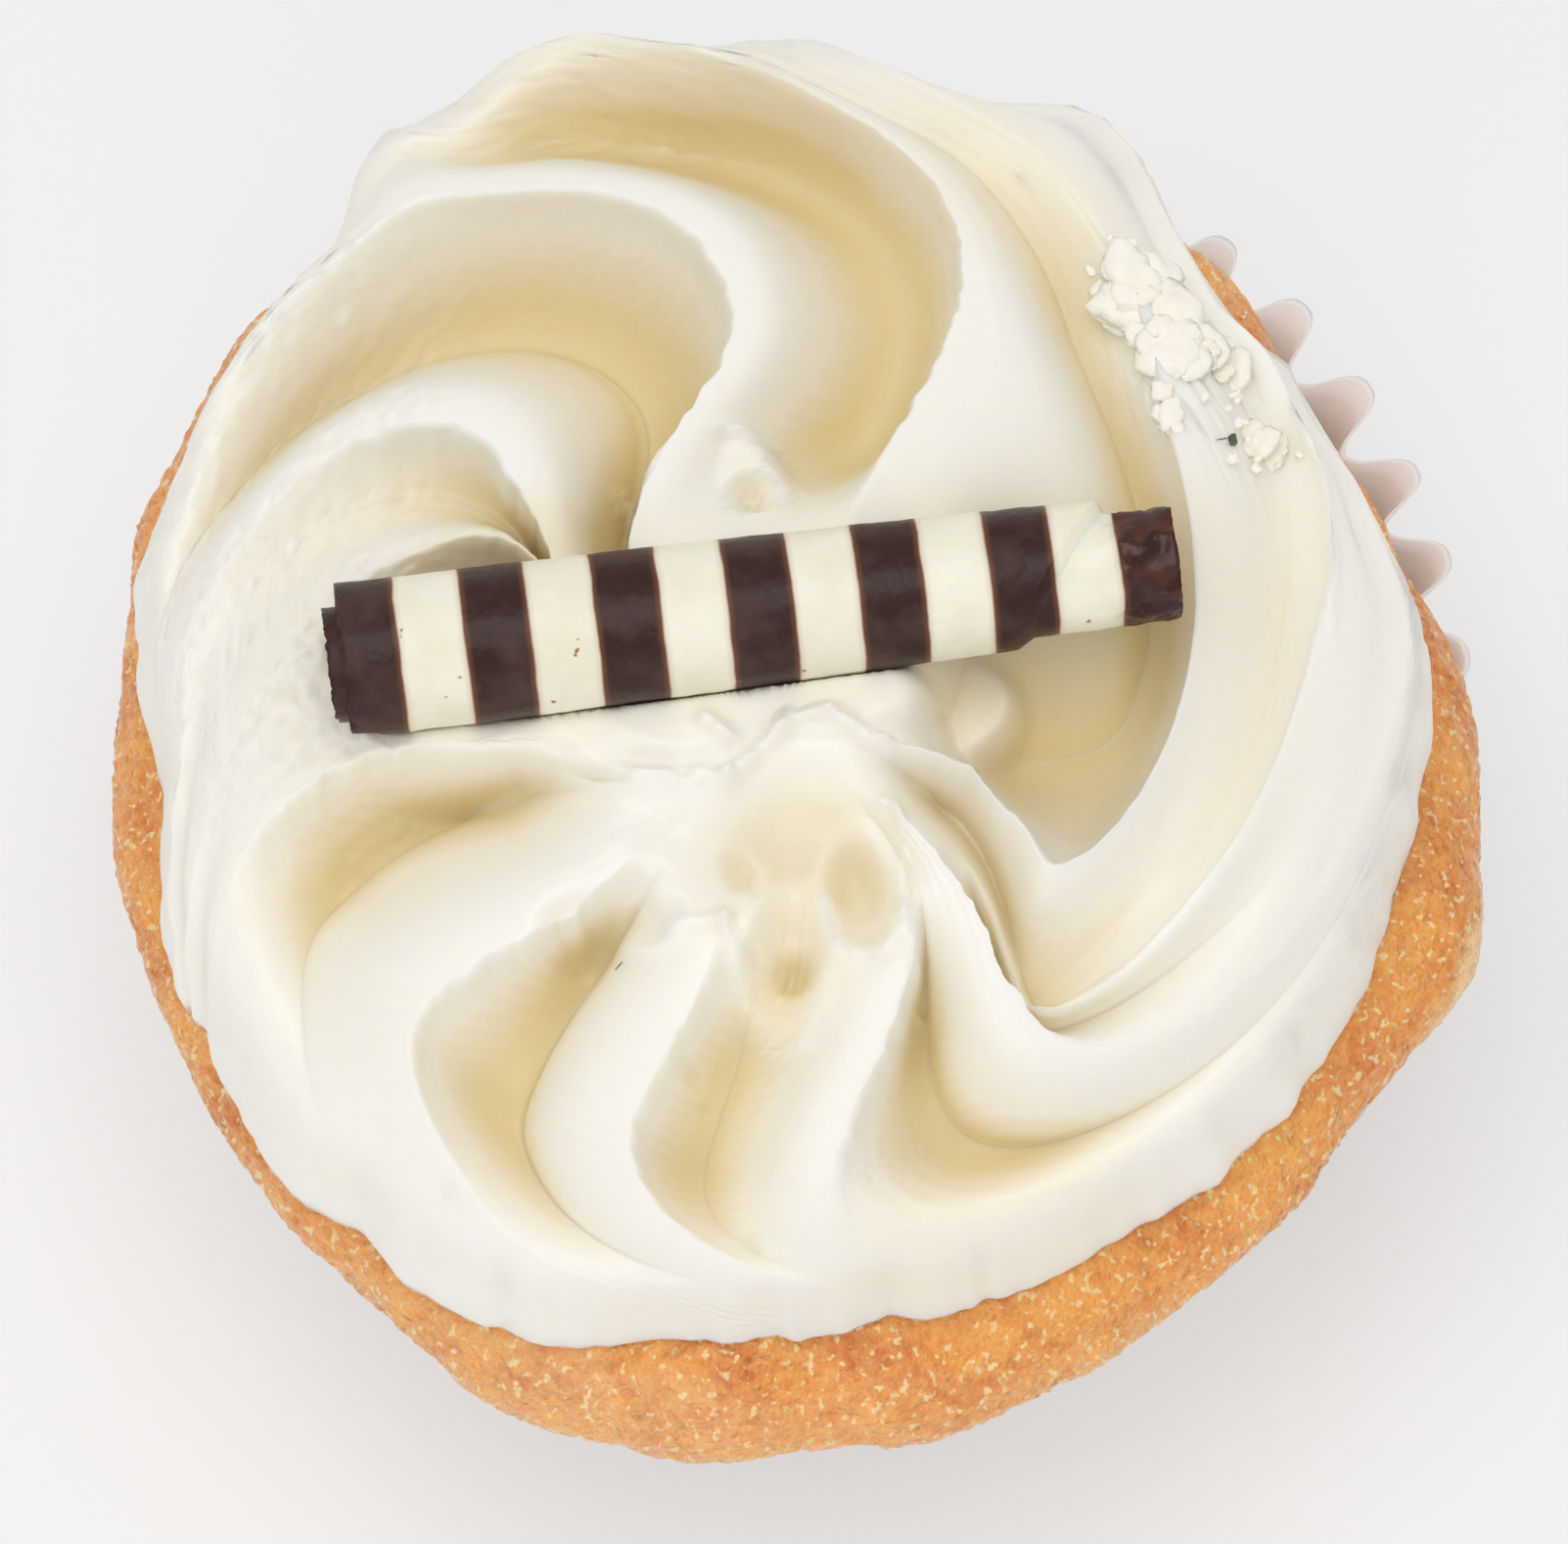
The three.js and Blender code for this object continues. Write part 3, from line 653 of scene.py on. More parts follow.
crust, tree, shader = new_material(
    "glossy_crust", Roughness=0.42, Subsurface_Weight=0.12, Subsurface_Scale=0.0008,
    Subsurface_Radius=(1.0, 0.4, 0.15), Coat_Weight=0.5, Coat_Roughness=0.18)
drawn_flecks = noise_node(tree, drawn_out_points(tree, 1.0, 1.0, 0.45), FLECK_SCALE, 1.0)
paint(tree, shader, CRUST_BROWN, [
    (patchy(tree, 0.0045, 0.36, 0.62), CRUST_GOLD),
    (times(tree, patchy(tree, 0.0007, 0.38, 0.62), 0.45), CRUST_YELLOW),
    (attribute(tree, "pale"), CRUST_PALE),
    (times(tree, patchy(tree, 0.0010, 0.60, 0.70), 0.35), CRUST_FRECKLE),
    (times(tree, remap(tree, drawn_flecks, 0.60, 0.68), 0.8), CRUST_FLECK),
])
gloss = patchy(tree, 0.0006, 0.45, 0.6)
feed(tree, shader.inputs["Roughness"], remap(tree, gloss, 0, 1, *CRUST_GLOSS))
add_grain(tree, shader, 0.00034, 0.5, 0.00030)
place_piece(sponge, "sponge", crust)

# %% [markdown]
# ## Icing
# Stiff buttercream piped with a star nozzle in one turn that climbs to the middle.
# Each tooth of the nozzle leaves a ridge, an arm, that swings outward from the middle
# and bends round. Its crest is sharp, because the cream curls over the hollow wall
# under it, and the other side of the hollow is a soft round rise to the next arm.
# Sculpting it by hand would be slow to correct, so the skin is worked out: columns of
# points follow the arms from the middle to the rim, each at a phase from 0 on one
# crest to 1 on the next, and every arm has its own bend, depth and reach.

# %% Icing: the arms
SWIRL_MIDDLE = (-2.4, -6.8)
ICING_CENTRE = (-2.0, 0.2)
ICING_RADIUS = 34.0
ICING_SEAT_Z = 40
ICING_PEAK = 20
ICING_RIM_LOW = 3.4
ICING_RIM_HIGH = 10.5
ICING_DOME_FALL = 3.4
ICING_DOME_SHARPNESS = 0.85
ICING_SIDE_START = 0.93
ICING_SIDE_FLUTES = 1.3
ICING_LEAST = 0.4             # thinnest that the icing gets over the sponge

# Shares are of the way from the middle to the rim, and bearings are in degrees. A crest
# leaves the middle at `start`, leans by `lean` on its way to the share `turn`, swings
# back there by `hook` at once, and by `sweep` more until the rim, late where `curl` is
# high. It lies `low` under the dome, in mm, until it stands up at the share `inner`, and
# it has run out at `outer`.
Arm = namedtuple("Arm", "start lean turn hook sweep curl inner outer low")
ARMS = [
    Arm(-31.4, -16.9, 0.63, 0, 119, 3.0, 0.26, 0.88, 1.5),
    Arm(-10.6, -34.7, 0.68, 52, 74, 2.6, 0.70, 0.99, 6.0),
    Arm(-5.8, -23.4, 0.56, 57, 64, 1.3, 0.12, 0.99, 2.0),
    Arm(72.9, -8.0, 0.48, 0, 52, 3.0, 0.18, 1.00, 5.0),
    Arm(142.7, -49.8, 0.51, 0, 65, 2.4, 0.18, 1.00, 5.0),
    Arm(148.0, -17.2, 0.53, 0, 65, 1.7, 0.18, 0.97, 3.2),
    Arm(168.2, -30.5, 0.42, 0, 60, 1.0, 0.34, 0.75, 2.8),
    Arm(207.6, -28.2, 0.35, 0, 23, 3.0, 0.18, 0.98, 3.0),
    Arm(226.1, -10.7, 0.74, 0, 60, 2.1, 0.30, 0.98, 2.0),
    Arm(261.7, -13.0, 0.76, 0, 38, 1.6, 0.34, 0.98, 2.0),
    Arm(323.7, -46.6, 0.81, 0, 14, 2.8, 0.42, 0.97, 2.0),
]

# Each valley lies between its arm and the next. It opens at `start` and has run out by
# the arm's outer share, from `close` before it. Its lowest line drifts from `trough` to
# `trough_out`, as shares of the way across, and `swell` rounds the far bank.
Valley = namedtuple("Valley", "depth start close trough trough_out swell")
VALLEYS = [
    Valley(6.5, 0.26, 0.30, 0.45, 0.50, 0.3),
    Valley(3.0, 0.45, 0.22, 0.35, 0.35, 0.0),
    Valley(9.5, 0.14, 0.60, 0.28, 0.68, 0.3),
    Valley(9.0, 0.22, 0.15, 0.30, 0.30, 0.0),
    Valley(11.0, 0.16, 0.22, 0.33, 0.50, 0.4),
    Valley(6.5, 0.14, 0.50, 0.38, 0.35, 0.2),
    Valley(5.5, 0.12, 0.40, 0.35, 0.35, 0.1),
    Valley(8.5, 0.20, 0.32, 0.15, 0.42, 0.6),
    Valley(8.5, 0.26, 0.26, 0.25, 0.60, 0.9),
    Valley(7.5, 0.34, 0.26, 0.22, 0.45, 0.3),
    Valley(8.5, 0.34, 0.26, 0.20, 0.70, 0.6),
]
LEAN_START = 0.15
HOOK_BEFORE = 0.02            # the hook lies from this far before the turn
HOOK_AFTER = 0.09             # to this far after it
ELBOW = (-0.05, -0.025, 0, 0.025, 0.05)   # shifts over which a crest is averaged
VALLEY_OPENING = 0.24
CREASE_SOFTNESS = 0.8
LOW_FROM = 0.10
LOW_FULL = 0.30
ARM_RISE_BEFORE = 0.10
ARM_RISE_AFTER = 0.04
TROUGH_DRIFT = (0.3, 0.9)     # shares between which a trough drifts to its outer place
LUMPS_FROM = 0.78
ICING_LUMPS = [
    Lump(2, 9, 1.0), Lump(12, 6, -0.9), Lump(26, 9, -2.4), Lump(41, 8, -3.2),
    Lump(50, 5, -0.8), Lump(60, 6, 1.1), Lump(76, 9, -0.6), Lump(94, 10, 1.5),
    Lump(111, 10, 3.0), Lump(126, 6, 3.3), Lump(158, 9, -0.5), Lump(188, 7, -1.4),
    Lump(226, 12, 1.6), Lump(246, 10, 1.9), Lump(278, 10, -0.7), Lump(298, 12, -0.7),
]


def icing_reach(bearing, share):
    """Distance from the swirl's middle at shares of the way to the rim: a circle seen
    off its centre, with lumps that grow towards the rim."""
    dx = ICING_CENTRE[0] - SWIRL_MIDDLE[0]
    dy = ICING_CENTRE[1] - SWIRL_MIDDLE[1]
    offset = math.hypot(dx, dy)
    angle = np.radians(bearing) - math.atan2(dy, dx)
    circle = offset * np.cos(angle) + np.sqrt(ICING_RADIUS ** 2 - (offset * np.sin(angle)) ** 2)
    x = circle * np.cos(np.radians(bearing)) - dx
    y = circle * np.sin(np.radians(bearing)) - dy
    lumps = lump_reach(ICING_LUMPS, np.degrees(np.arctan2(y, x)) % 360)
    return share * circle + smooth(LUMPS_FROM, 1, share) * lumps


def arm_bearing(arm, share):
    """Bearing of an arm's crest at shares of the way out, with its elbow rounded off."""
    total = 0
    for shift in ELBOW:
        s = share + shift
        past = np.clip((s - arm.turn) / (1 - arm.turn), 0, None)
        total = total + arm.start + arm.lean * smooth(LEAN_START, arm.turn, s)
        total = total + arm.sweep * past ** arm.curl
        total = total + arm.hook * smooth(arm.turn - HOOK_BEFORE, arm.turn + HOOK_AFTER, s)
    return total / len(ELBOW)


# %% Icing: heights
def farness(bearing):
    """0 on the near side, which the swirl leans to, and 1 on the far side."""
    return (1 + np.sin(np.radians(bearing))) / 2


def crest_height(share, bearing):
    """Height of the dome that the crests touch."""
    rim = lerp(ICING_RIM_LOW, ICING_RIM_HIGH, farness(bearing))
    fall = np.clip(1 - share ** ICING_DOME_FALL, 0, 1) ** ICING_DOME_SHARPNESS
    return rim + (ICING_PEAK - rim) * fall


def valley_open(arm, valley, share):
    """Share of its depth that the valley after an arm has."""
    opened = smooth(valley.start, valley.start + VALLEY_OPENING, share)
    return opened * (1 - smooth(arm.outer - valley.close, arm.outer, share))


def crest_sunk(arm, share):
    """How far an arm's crest lies below the dome before the arm has risen."""
    risen = smooth(arm.inner - ARM_RISE_BEFORE, arm.inner + ARM_RISE_AFTER, share)
    return arm.low * (1 - risen) * smooth(LOW_FROM, LOW_FULL, share)


def hollow_shape(place, swell):
    """Depth across a valley, from 0 at a crest to 1 at the trough, with the trough at
    place 0.5: a hollow wall, then a rise to the next arm, soft or swollen like a cushion."""
    down = np.clip(place / 0.5, 0, 1)
    up = np.clip((place - 0.5) / 0.5, 0, 1)
    soft = (1 + np.cos(math.pi * up)) / 2
    swollen = 1 - np.sqrt(1 - (1 - up) ** 2)
    return np.where(place < 0.5, 1 - (1 - down) ** 2, lerp(soft, swollen, swell))


def deeper(first, second):
    """The larger of two depths, with the crease between them softened."""
    apart = np.sqrt((first - second) ** 2 + CREASE_SOFTNESS ** 2)
    return (first + second + apart - CREASE_SOFTNESS) / 2


# %% [markdown]
# The crests need the closest columns, so each phase is eased towards both ends. The
# lip is made by moving the points near a crest out over the hollow after it, and the
# wall below stays where it was. Long soft stripes along the arms are what a nozzle's
# cut leaves, and the torn, clumped and bubbled places are added one by one.

# %% Icing: skin
COLUMN_SPREAD = 0.95          # degrees between columns where two arms lie wide apart
FEWEST_COLUMNS = 14
EASE = 0.55                   # how much closer the columns lie by a crest
SKIN_ROWS = 154
SIDE_ROWS = 15
ROW_CROWDING = 0.95           # below 1, the rows lie a little closer by the rim
FLUTES_BUILD = (0.8, 0.97)    # shares between which the flutes of the side build up
LIP_REACH = 0.55
LIP_WIDTH = 0.9
LIP_LIFT = 0.3                # how much of its reach the lip also rises
LIP_BUILDS = (0.14, 0.30)     # shares between which the lip and the stripes build up
LIP_TORN = 0.30               # how far the lip's edge wanders in and out where it tore
STRIPE_HEIGHT = 0.06


def skin_columns():
    """For each column its arm, valley, the next arm and valley, a whole turn where the
    next arm is the first, and its place across the valley, with the trough at 0.5."""
    columns = []
    for k, arm in enumerate(ARMS):
        after = (k + 1) % len(ARMS)
        next_turn = 360 if after == 0 else 0
        spread = max(arm_bearing(ARMS[after], s) + next_turn - arm_bearing(arm, s) for s in (0.5, 1.0))
        count = max(FEWEST_COLUMNS, round(float(spread) / COLUMN_SPREAD))
        for i in range(count):
            even = i / count
            place = even - EASE * math.sin(2 * math.pi * even) / (2 * math.pi)
            columns.append((arm, VALLEYS[k], ARMS[after], VALLEYS[after], next_turn, place))
    return columns


def swirl_column(arm, valley, next_arm, next_valley, next_turn, place, share):
    """Points of one column of the skin."""
    trough = lerp(valley.trough, valley.trough_out, smooth(*TROUGH_DRIFT, share))
    phase = np.where(place < 0.5, place / 0.5 * trough, lerp(trough, 1, (place - 0.5) / 0.5))
    start = arm_bearing(arm, share)
    width = arm_bearing(next_arm, share) + next_turn - start
    bearing = start + width * phase
    sunk = lerp(crest_sunk(arm, share), crest_sunk(next_arm, share), phase)
    hollow = hollow_shape(place, valley.swell)
    cut = deeper(sunk, valley.depth * valley_open(arm, valley, share) * hollow)
    down = np.clip((share - ICING_SIDE_START) / (1 - ICING_SIDE_START), 0, 1)
    side = np.sqrt(1 - down ** 2)
    height = (crest_height(share, bearing) - cut) * side
    flute = ICING_SIDE_FLUTES * farness(bearing) * hollow * smooth(*FLUTES_BUILD, share)
    reach = icing_reach(bearing, share) - flute
    along = np.radians(width) * reach
    lip_here = bell(along * phase, LIP_WIDTH) * valley_open(arm, valley, share)
    lip_next = bell(along * (1 - phase), LIP_WIDTH) * valley_open(next_arm, next_valley, share)
    crest = np.radians(start + width if place > 0.5 else start)
    crest_line = np.stack([np.cos(crest) * reach, np.sin(crest) * reach, 0 * share], 1)
    ragged = LIP_REACH + LIP_TORN * soft_noise(crest_line, 1.3, 3, seed=16)
    lip = ragged * np.maximum(lip_here, lip_next) * (1 - down) * smooth(*LIP_BUILDS, share)
    turn = np.radians(bearing)
    x = SWIRL_MIDDLE[0] + reach * np.cos(turn) - lip * np.sin(turn)
    y = SWIRL_MIDDLE[1] + reach * np.sin(turn) + lip * np.cos(turn)
    z = np.maximum(ICING_SEAT_Z + height + LIP_LIFT * lip, seat_z(x, y) + ICING_LEAST * side)
    return np.stack([x, y, z], 1)


def swirl_skin():
    """The whole upper skin, as rows of rings from the middle to the rim."""
    top = (np.arange(1, SKIN_ROWS + 1) / SKIN_ROWS) ** ROW_CROWDING * ICING_SIDE_START
    side = lerp(ICING_SIDE_START, 1, np.sin(np.radians(np.linspace(0, 90, SIDE_ROWS)[1:])))
    share = np.concatenate([top, side])
    skin = np.stack([swirl_column(*column, share) for column in skin_columns()], 1)
    return share, skin


share, skin = swirl_skin()
print("icing skin, rows and columns:", skin.shape[:2])

# %% [markdown]
# Now the marks, given one by one. Where the nozzle was lifted off, the cream broke into
# shelves, pits, thin ridges and little peaks, and the far right side was torn. Each is an
# oval or a line with its own place, size and height, added to the skin's height. Broad
# ones come first. Last, the roll presses its own groove.

# %% Icing: tools for marks
def oval_distance(points, mark):
    """0 in the middle of an oval mark and 1 at its edge."""
    turn = math.radians(mark.heading)
    dx = points[..., 0] - mark.x
    dy = points[..., 1] - mark.y
    along = (dx * math.cos(turn) + dy * math.sin(turn)) / mark.length
    across = (dy * math.cos(turn) - dx * math.sin(turn)) / mark.width
    return np.hypot(along, across)


def line_distance(points, start, end):
    """Distance in mm from a straight line between two places on the plan."""
    start = np.array(start, float)
    run = np.array(end, float) - start
    away = points[..., :2] - start
    along = np.clip((away @ run) / (run @ run), 0, 1)
    return np.hypot(*np.moveaxis(away - along[..., None] * run, -1, 0))


# %% Icing: shelves and pits
Shelf = namedtuple("Shelf", "x y length width heading top edge")
SHELVES = [
    Shelf(-5.3, 6.6, 4.3, 3.9, 0, 58.4, 0.30),
    Shelf(5.4, -4.4, 5.6, 3.4, 8, 55.6, 0.30),
    Shelf(2.4, -14.2, 3.4, 4.6, 0, 57.8, 0.5),
    Shelf(-16.0, -6.8, 7.4, 2.2, 3, 59.6, 0.7),
    Shelf(-11.6, -6.4, 4.2, 2.8, 6, 60.0, 0.45),
    Shelf(-6.6, -6.0, 5.0, 2.8, 8, 60.4, 0.45),
    Shelf(1.0, -4.9, 5.4, 2.6, 4, 60.7, 0.45),
]
Pit = namedtuple("Pit", "x y length width heading depth rim")
PITS = [
    Pit(-0.9, -11.6, 5.4, 3.9, 0, 1.7, 0.0),
    Pit(-1.3, -17.4, 2.0, 3.1, -12, 2.2, 0.25),
    Pit(-1.0, -18.2, 1.2, 1.2, 0, 1.2, 0.0),
    Pit(2.1, -14.9, 1.8, 3.0, 8, 1.6, 0.30),
    Pit(1.1, -14.6, 0.7, 0.8, 0, 0.25, 0.0),
    Pit(2.7, -16.8, 0.9, 0.8, 0, 0.35, 0.0),
    Pit(-3.1, -17.7, 0.6, 0.7, 0, 0.5, 0.0),
    Pit(-3.7, -13.9, 1.0, 1.7, 30, 0.4, 0.05),
    Pit(-6.3, -22.3, 0.8, 0.7, 0, 0.6, 0.0),
    Pit(-11.8, -16.0, 2.2, 1.4, 20, 1.4, 0.0),
    Pit(-12.9, -8.1, 1.3, 0.8, 30, 0.5, 0.0),
    Pit(-3.2, 5.9, 1.3, 1.2, 0, 1.6, 0.3),
    Pit(-8.0, -16.0, 1.5, 1.3, 0, 0.7, 0.3),
]
PIT_WALL = (0.2, 1.1)         # oval distances between which a pit's wall rises
PIT_RIM = 1.15                # oval distance of its raised rim
PIT_RIM_WIDTH = 0.25
for shelf in SHELVES:
    rise = np.clip(shelf.top - skin[..., 2], 0, None)
    skin[..., 2] += rise * (1 - smooth(1 - shelf.edge, 1, oval_distance(skin, shelf)))
for pit in PITS:
    away = oval_distance(skin, pit)
    rim = pit.rim * bell(away - PIT_RIM, PIT_RIM_WIDTH)
    skin[..., 2] += rim - pit.depth * (1 - smooth(*PIT_WALL, away))
print(len(SHELVES), "shelves and", len(PITS), "pits")

# %% Icing: ridges, peaks and bubbles
# A ridge is a line of places, each with the width and height of the stretch after it.
RIDGES = [
    [(24.2, 11.8, 0.22, 0.55), (25.5, 8.9, 0.22, 0.60), (25.9, 3.9, 0.22, 0.50), (25.7, 0.6, 0, 0)],
    [(-4.5, -16.3, 0.38, 0.35), (-2.5, -13.4, 0, 0)],
    [(-4.5, -16.3, 0.38, 0.45), (-3.6, -19.6, 0.35, 0.45), (-2.2, -21.6, 0.32, 0.45),
     (-0.9, -21.8, 0.35, 0.30), (0.6, -19.6, 0, 0)],
    [(0.3, -14.9, 0.40, 0.35), (1.1, -17.6, 0.35, 0.35), (2.9, -18.3, 0.35, 0.30), (4.1, -17.0, 0, 0)],
    [(4.2, -12.8, 0.25, 0.45), (4.3, -15.8, 0.25, 0.55), (4.8, -17.8, 0, 0)],
    [(-5.4, -6.4, 0.40, 0.6), (-4.2, -7.4, 0, 0)],
    [(-8.8, -9.2, 0.45, 0.7), (-4.3, -9.2, 0.40, 0.8), (-1.7, -6.9, 0, 0)],
    [(0.7, -6.3, 0.40, 0.9), (3.4, -7.7, 0.35, 0.6), (5.6, -8.6, 0, 0)],
    [(-8.2, -13.7, 0.35, 0.30), (-7.0, -16.6, 0.35, 0.35), (-4.7, -16.3, 0, 0)],
    [(-4.6, 9.2, 0.30, 0.45), (-1.9, 9.4, 0.30, 0.40), (-0.9, 6.6, 0, 0)],
]
Peak = namedtuple("Peak", "x y length width heading height")
PEAKS = [
    Peak(4.0, -10.8, 0.42, 0.95, 10, 1.2),
    Peak(3.3, -10.2, 0.60, 0.35, 30, 0.6),
    Peak(4.9, -18.4, 0.38, 0.85, -12, 1.1),
    Peak(5.1, -19.5, 0.45, 0.30, 0, 0.8),
    Peak(-1.6, -6.7, 0.9, 0.7, 40, 0.9),
    Peak(0.2, -6.1, 1.2, 0.5, 10, 0.8),
    Peak(-9.6, 7.6, 0.30, 0.9, 20, 1.3),
    Peak(-4.5, -16.2, 0.55, 0.55, 0, 0.5),
]
Bubble = namedtuple("Bubble", "x y radius")
BUBBLES = [
    Bubble(-7.2, 19.0, 0.40), Bubble(-6.2, 18.9, 0.32), Bubble(-6.2, 17.4, 0.40),
    Bubble(-13.5, 22.4, 0.28), Bubble(-15.2, 22.3, 0.45), Bubble(-19.8, 20.9, 0.35),
    Bubble(2.0, 13.6, 0.35), Bubble(-21.5, -24.4, 0.40), Bubble(-18.1, -27.7, 0.45),
    Bubble(-3.1, -30.0, 0.60), Bubble(-5.5, -23.6, 0.35), Bubble(2.7, -27.3, 0.30),
    Bubble(13.0, -27.3, 0.45), Bubble(15.0, -10.7, 0.28), Bubble(16.3, -9.6, 0.30),
    Bubble(14.5, -12.9, 0.30), Bubble(25.2, -11.5, 0.35), Bubble(10.4, 24.1, 0.35),
    Bubble(-24.3, 18.8, 0.60),
]
PEAK_SHARPNESS = 0.8          # below 1, a peak is blunter than a cone
BUBBLE_DEPTH = 0.5            # of its radius
RIDGE_BREAKS = 0.8            # how unevenly a ridge stands, as a share of its height
broken = 1 + RIDGE_BREAKS * soft_noise(skin * (1, 1, 0), 0.9, 2, seed=17)
for ridge in RIDGES:
    for (*start, width, height), (*end, _, _) in zip(ridge, ridge[1:]):
        skin[..., 2] += height * broken * bell(line_distance(skin, start, end), width)
for peak in PEAKS:
    skin[..., 2] += peak.height * np.clip(1 - oval_distance(skin, peak), 0, 1) ** PEAK_SHARPNESS
for bubble in BUBBLES:
    away = np.hypot(skin[..., 0] - bubble.x, skin[..., 1] - bubble.y) / bubble.radius
    skin[..., 2] -= BUBBLE_DEPTH * bubble.radius * np.sqrt(np.clip(1 - away ** 2, 0, 1))
print(len(RIDGES), "ridges,", len(PEAKS), "peaks,", len(BUBBLES), "bubbles")

# %% Icing: stripes, torn patch and rough side
STRIPE_ACROSS = 0.14          # steps of the stripes' noise from column to column
STRIPE_ALONG = 2.2            # and from the middle to the rim
TORN = Shelf(18.4, 14.0, 4.4, 7.4, 24, 0, 0.5)
TORN_CLUMP = 2.1
TORN_HEIGHT = 0.7
TORN_FINE = 0.5               # share of finer lumps on the clumps
TORN_SUNK = 0.35              # how deep the gaps between them cut in, as a share
ROUGH_HEIGHT = 0.36
ROUGH_LEFT = ((-15, -22), (-14, -4), (27, 20))   # its right, near and far edges, in mm
ROUGH_FAR = ((4, -6), (24, 30))                  # its right and near edges
rows, columns = skin.shape[:2]
flow = np.zeros((rows, columns, 3))
flow[..., 0] = np.arange(columns)[None] * STRIPE_ACROSS
flow[..., 1] = share[:, None] * STRIPE_ALONG
on_top = 1 - smooth(ICING_SIDE_START, 1, share)[:, None]
built = smooth(*LIP_BUILDS, share)[:, None]
skin[..., 2] += STRIPE_HEIGHT * soft_noise(flow, 1, 2, seed=8) * on_top * built
torn = 1 - smooth(1 - TORN.edge, 1, oval_distance(skin, TORN))
clumps = clump_noise(skin * (1, 1, 0.4), TORN_CLUMP, seed=2)
clumps += TORN_FINE * soft_noise(skin, 0.7, 2, seed=9)
skin[..., 2] += TORN_HEIGHT * (clumps - TORN_SUNK) * torn * on_top
right, near, far = ROUGH_LEFT
rough_left = smooth(*right, skin[..., 0]) * smooth(*near, skin[..., 1]) * smooth(*far, skin[..., 1])
right, near = ROUGH_FAR
rough_far = smooth(*near, skin[..., 1]) * smooth(*right, skin[..., 0])
roughness = np.maximum(rough_left, rough_far)
skin[..., 2] += ROUGH_HEIGHT * soft_noise(skin, 0.8, 3, seed=10) * roughness * on_top
print("torn patch covers", int((torn > 0.5).sum()), "points")

# %% Icing: ragged rim
EDGE_RAGGED = 0.45            # how far the rim wanders, in mm
RIM_BUILDS = (0.90, 0.99)     # shares between which the rim gets ragged
RIM_SET_IN = 0.6              # share of its wander that it is set in, to stay in the solid
rim_share = smooth(*RIM_BUILDS, share)[:, None]
outward = skin[..., :2] - np.array(ICING_CENTRE)
outward /= np.hypot(outward[..., :1], outward[..., 1:])
edge_points = np.concatenate([outward * ICING_RADIUS, skin[..., 2:] * 0], -1)
ragged = soft_noise(edge_points, 3.0, 3, seed=11)
skin[..., :2] += outward * (EDGE_RAGGED * (ragged - RIM_SET_IN) * rim_share)[..., None]
print("ragged rim of", columns, "points")

# %% [markdown]
# The roll lies across the top. Its groove is the underside of its own round shape, a
# hair wider, and the cream beside it stays where it is, so it seems to hold the roll.

# %% Icing: the roll's groove
ROLL_CENTRE = (-3.2, -1.1, 61.2)
ROLL_LENGTH = 42.3
ROLL_HEADING = 7.3            # degrees from +X
ROLL_RADIUS_THICK = 3.9
ROLL_RADIUS_THIN = 3.5
ROLL_CORE_RADIUS = 3.0
ROLL_WRAP_END = 0.86
ROLL_WRAP_SLANT = 0.06
GROOVE_GAP = 0.06
GROOVE_HALF = 0.51            # half of the groove's length, as a share of the roll's
roll_turn = math.radians(ROLL_HEADING)
ROLL_ALONG = np.array([math.cos(roll_turn), math.sin(roll_turn), 0])
ROLL_ACROSS = np.array([-ROLL_ALONG[1], ROLL_ALONG[0], 0])


def wrap_radius(along):
    """Radius of the outer wrap at a share of the roll's length."""
    thinning = np.clip(along / ROLL_WRAP_END, 0, 1) ** 2
    return lerp(ROLL_RADIUS_THICK, ROLL_RADIUS_THIN, thinning)


away = skin - np.array(ROLL_CENTRE)
along = away @ ROLL_ALONG / ROLL_LENGTH + 0.5
across = away @ ROLL_ACROSS
radius = wrap_radius(along) + GROOVE_GAP
under_roll = (np.abs(along - 0.5) < GROOVE_HALF) & (np.abs(across) < radius)
groove = ROLL_CENTRE[2] - np.sqrt(np.clip(radius ** 2 - across ** 2, 0, None))
skin[..., 2] = np.where(under_roll, np.minimum(skin[..., 2], groove), skin[..., 2])
skin[..., 2] = np.maximum(skin[..., 2], seat_z(skin[..., 0], skin[..., 1]))
print("points under the roll:", int(under_roll.sum()))

# %% Icing: body
UNDER_SHARES = (0.3, 0.6, 0.8, 0.92, 0.97, 0.995)   # where the underside's rings lie
low_z = float(seat_z(*SWIRL_MIDDLE))
top_z = float(skin[0, :, 2].mean())


def seat_ring(edge, out):
    xy = lerp(np.array(SWIRL_MIDDLE), edge[:, :2], out)
    return np.column_stack([xy, seat_z(xy[:, 0], xy[:, 1])])


under = [seat_ring(skin[-1], out) for out in UNDER_SHARES]
icing_rings = [*under, *skin[::-1]]
icing = ring_body("piped_icing", (*SWIRL_MIDDLE, low_z), icing_rings, (*SWIRL_MIDDLE, top_z))
print("icing:", len(icing.data.vertices), "points")
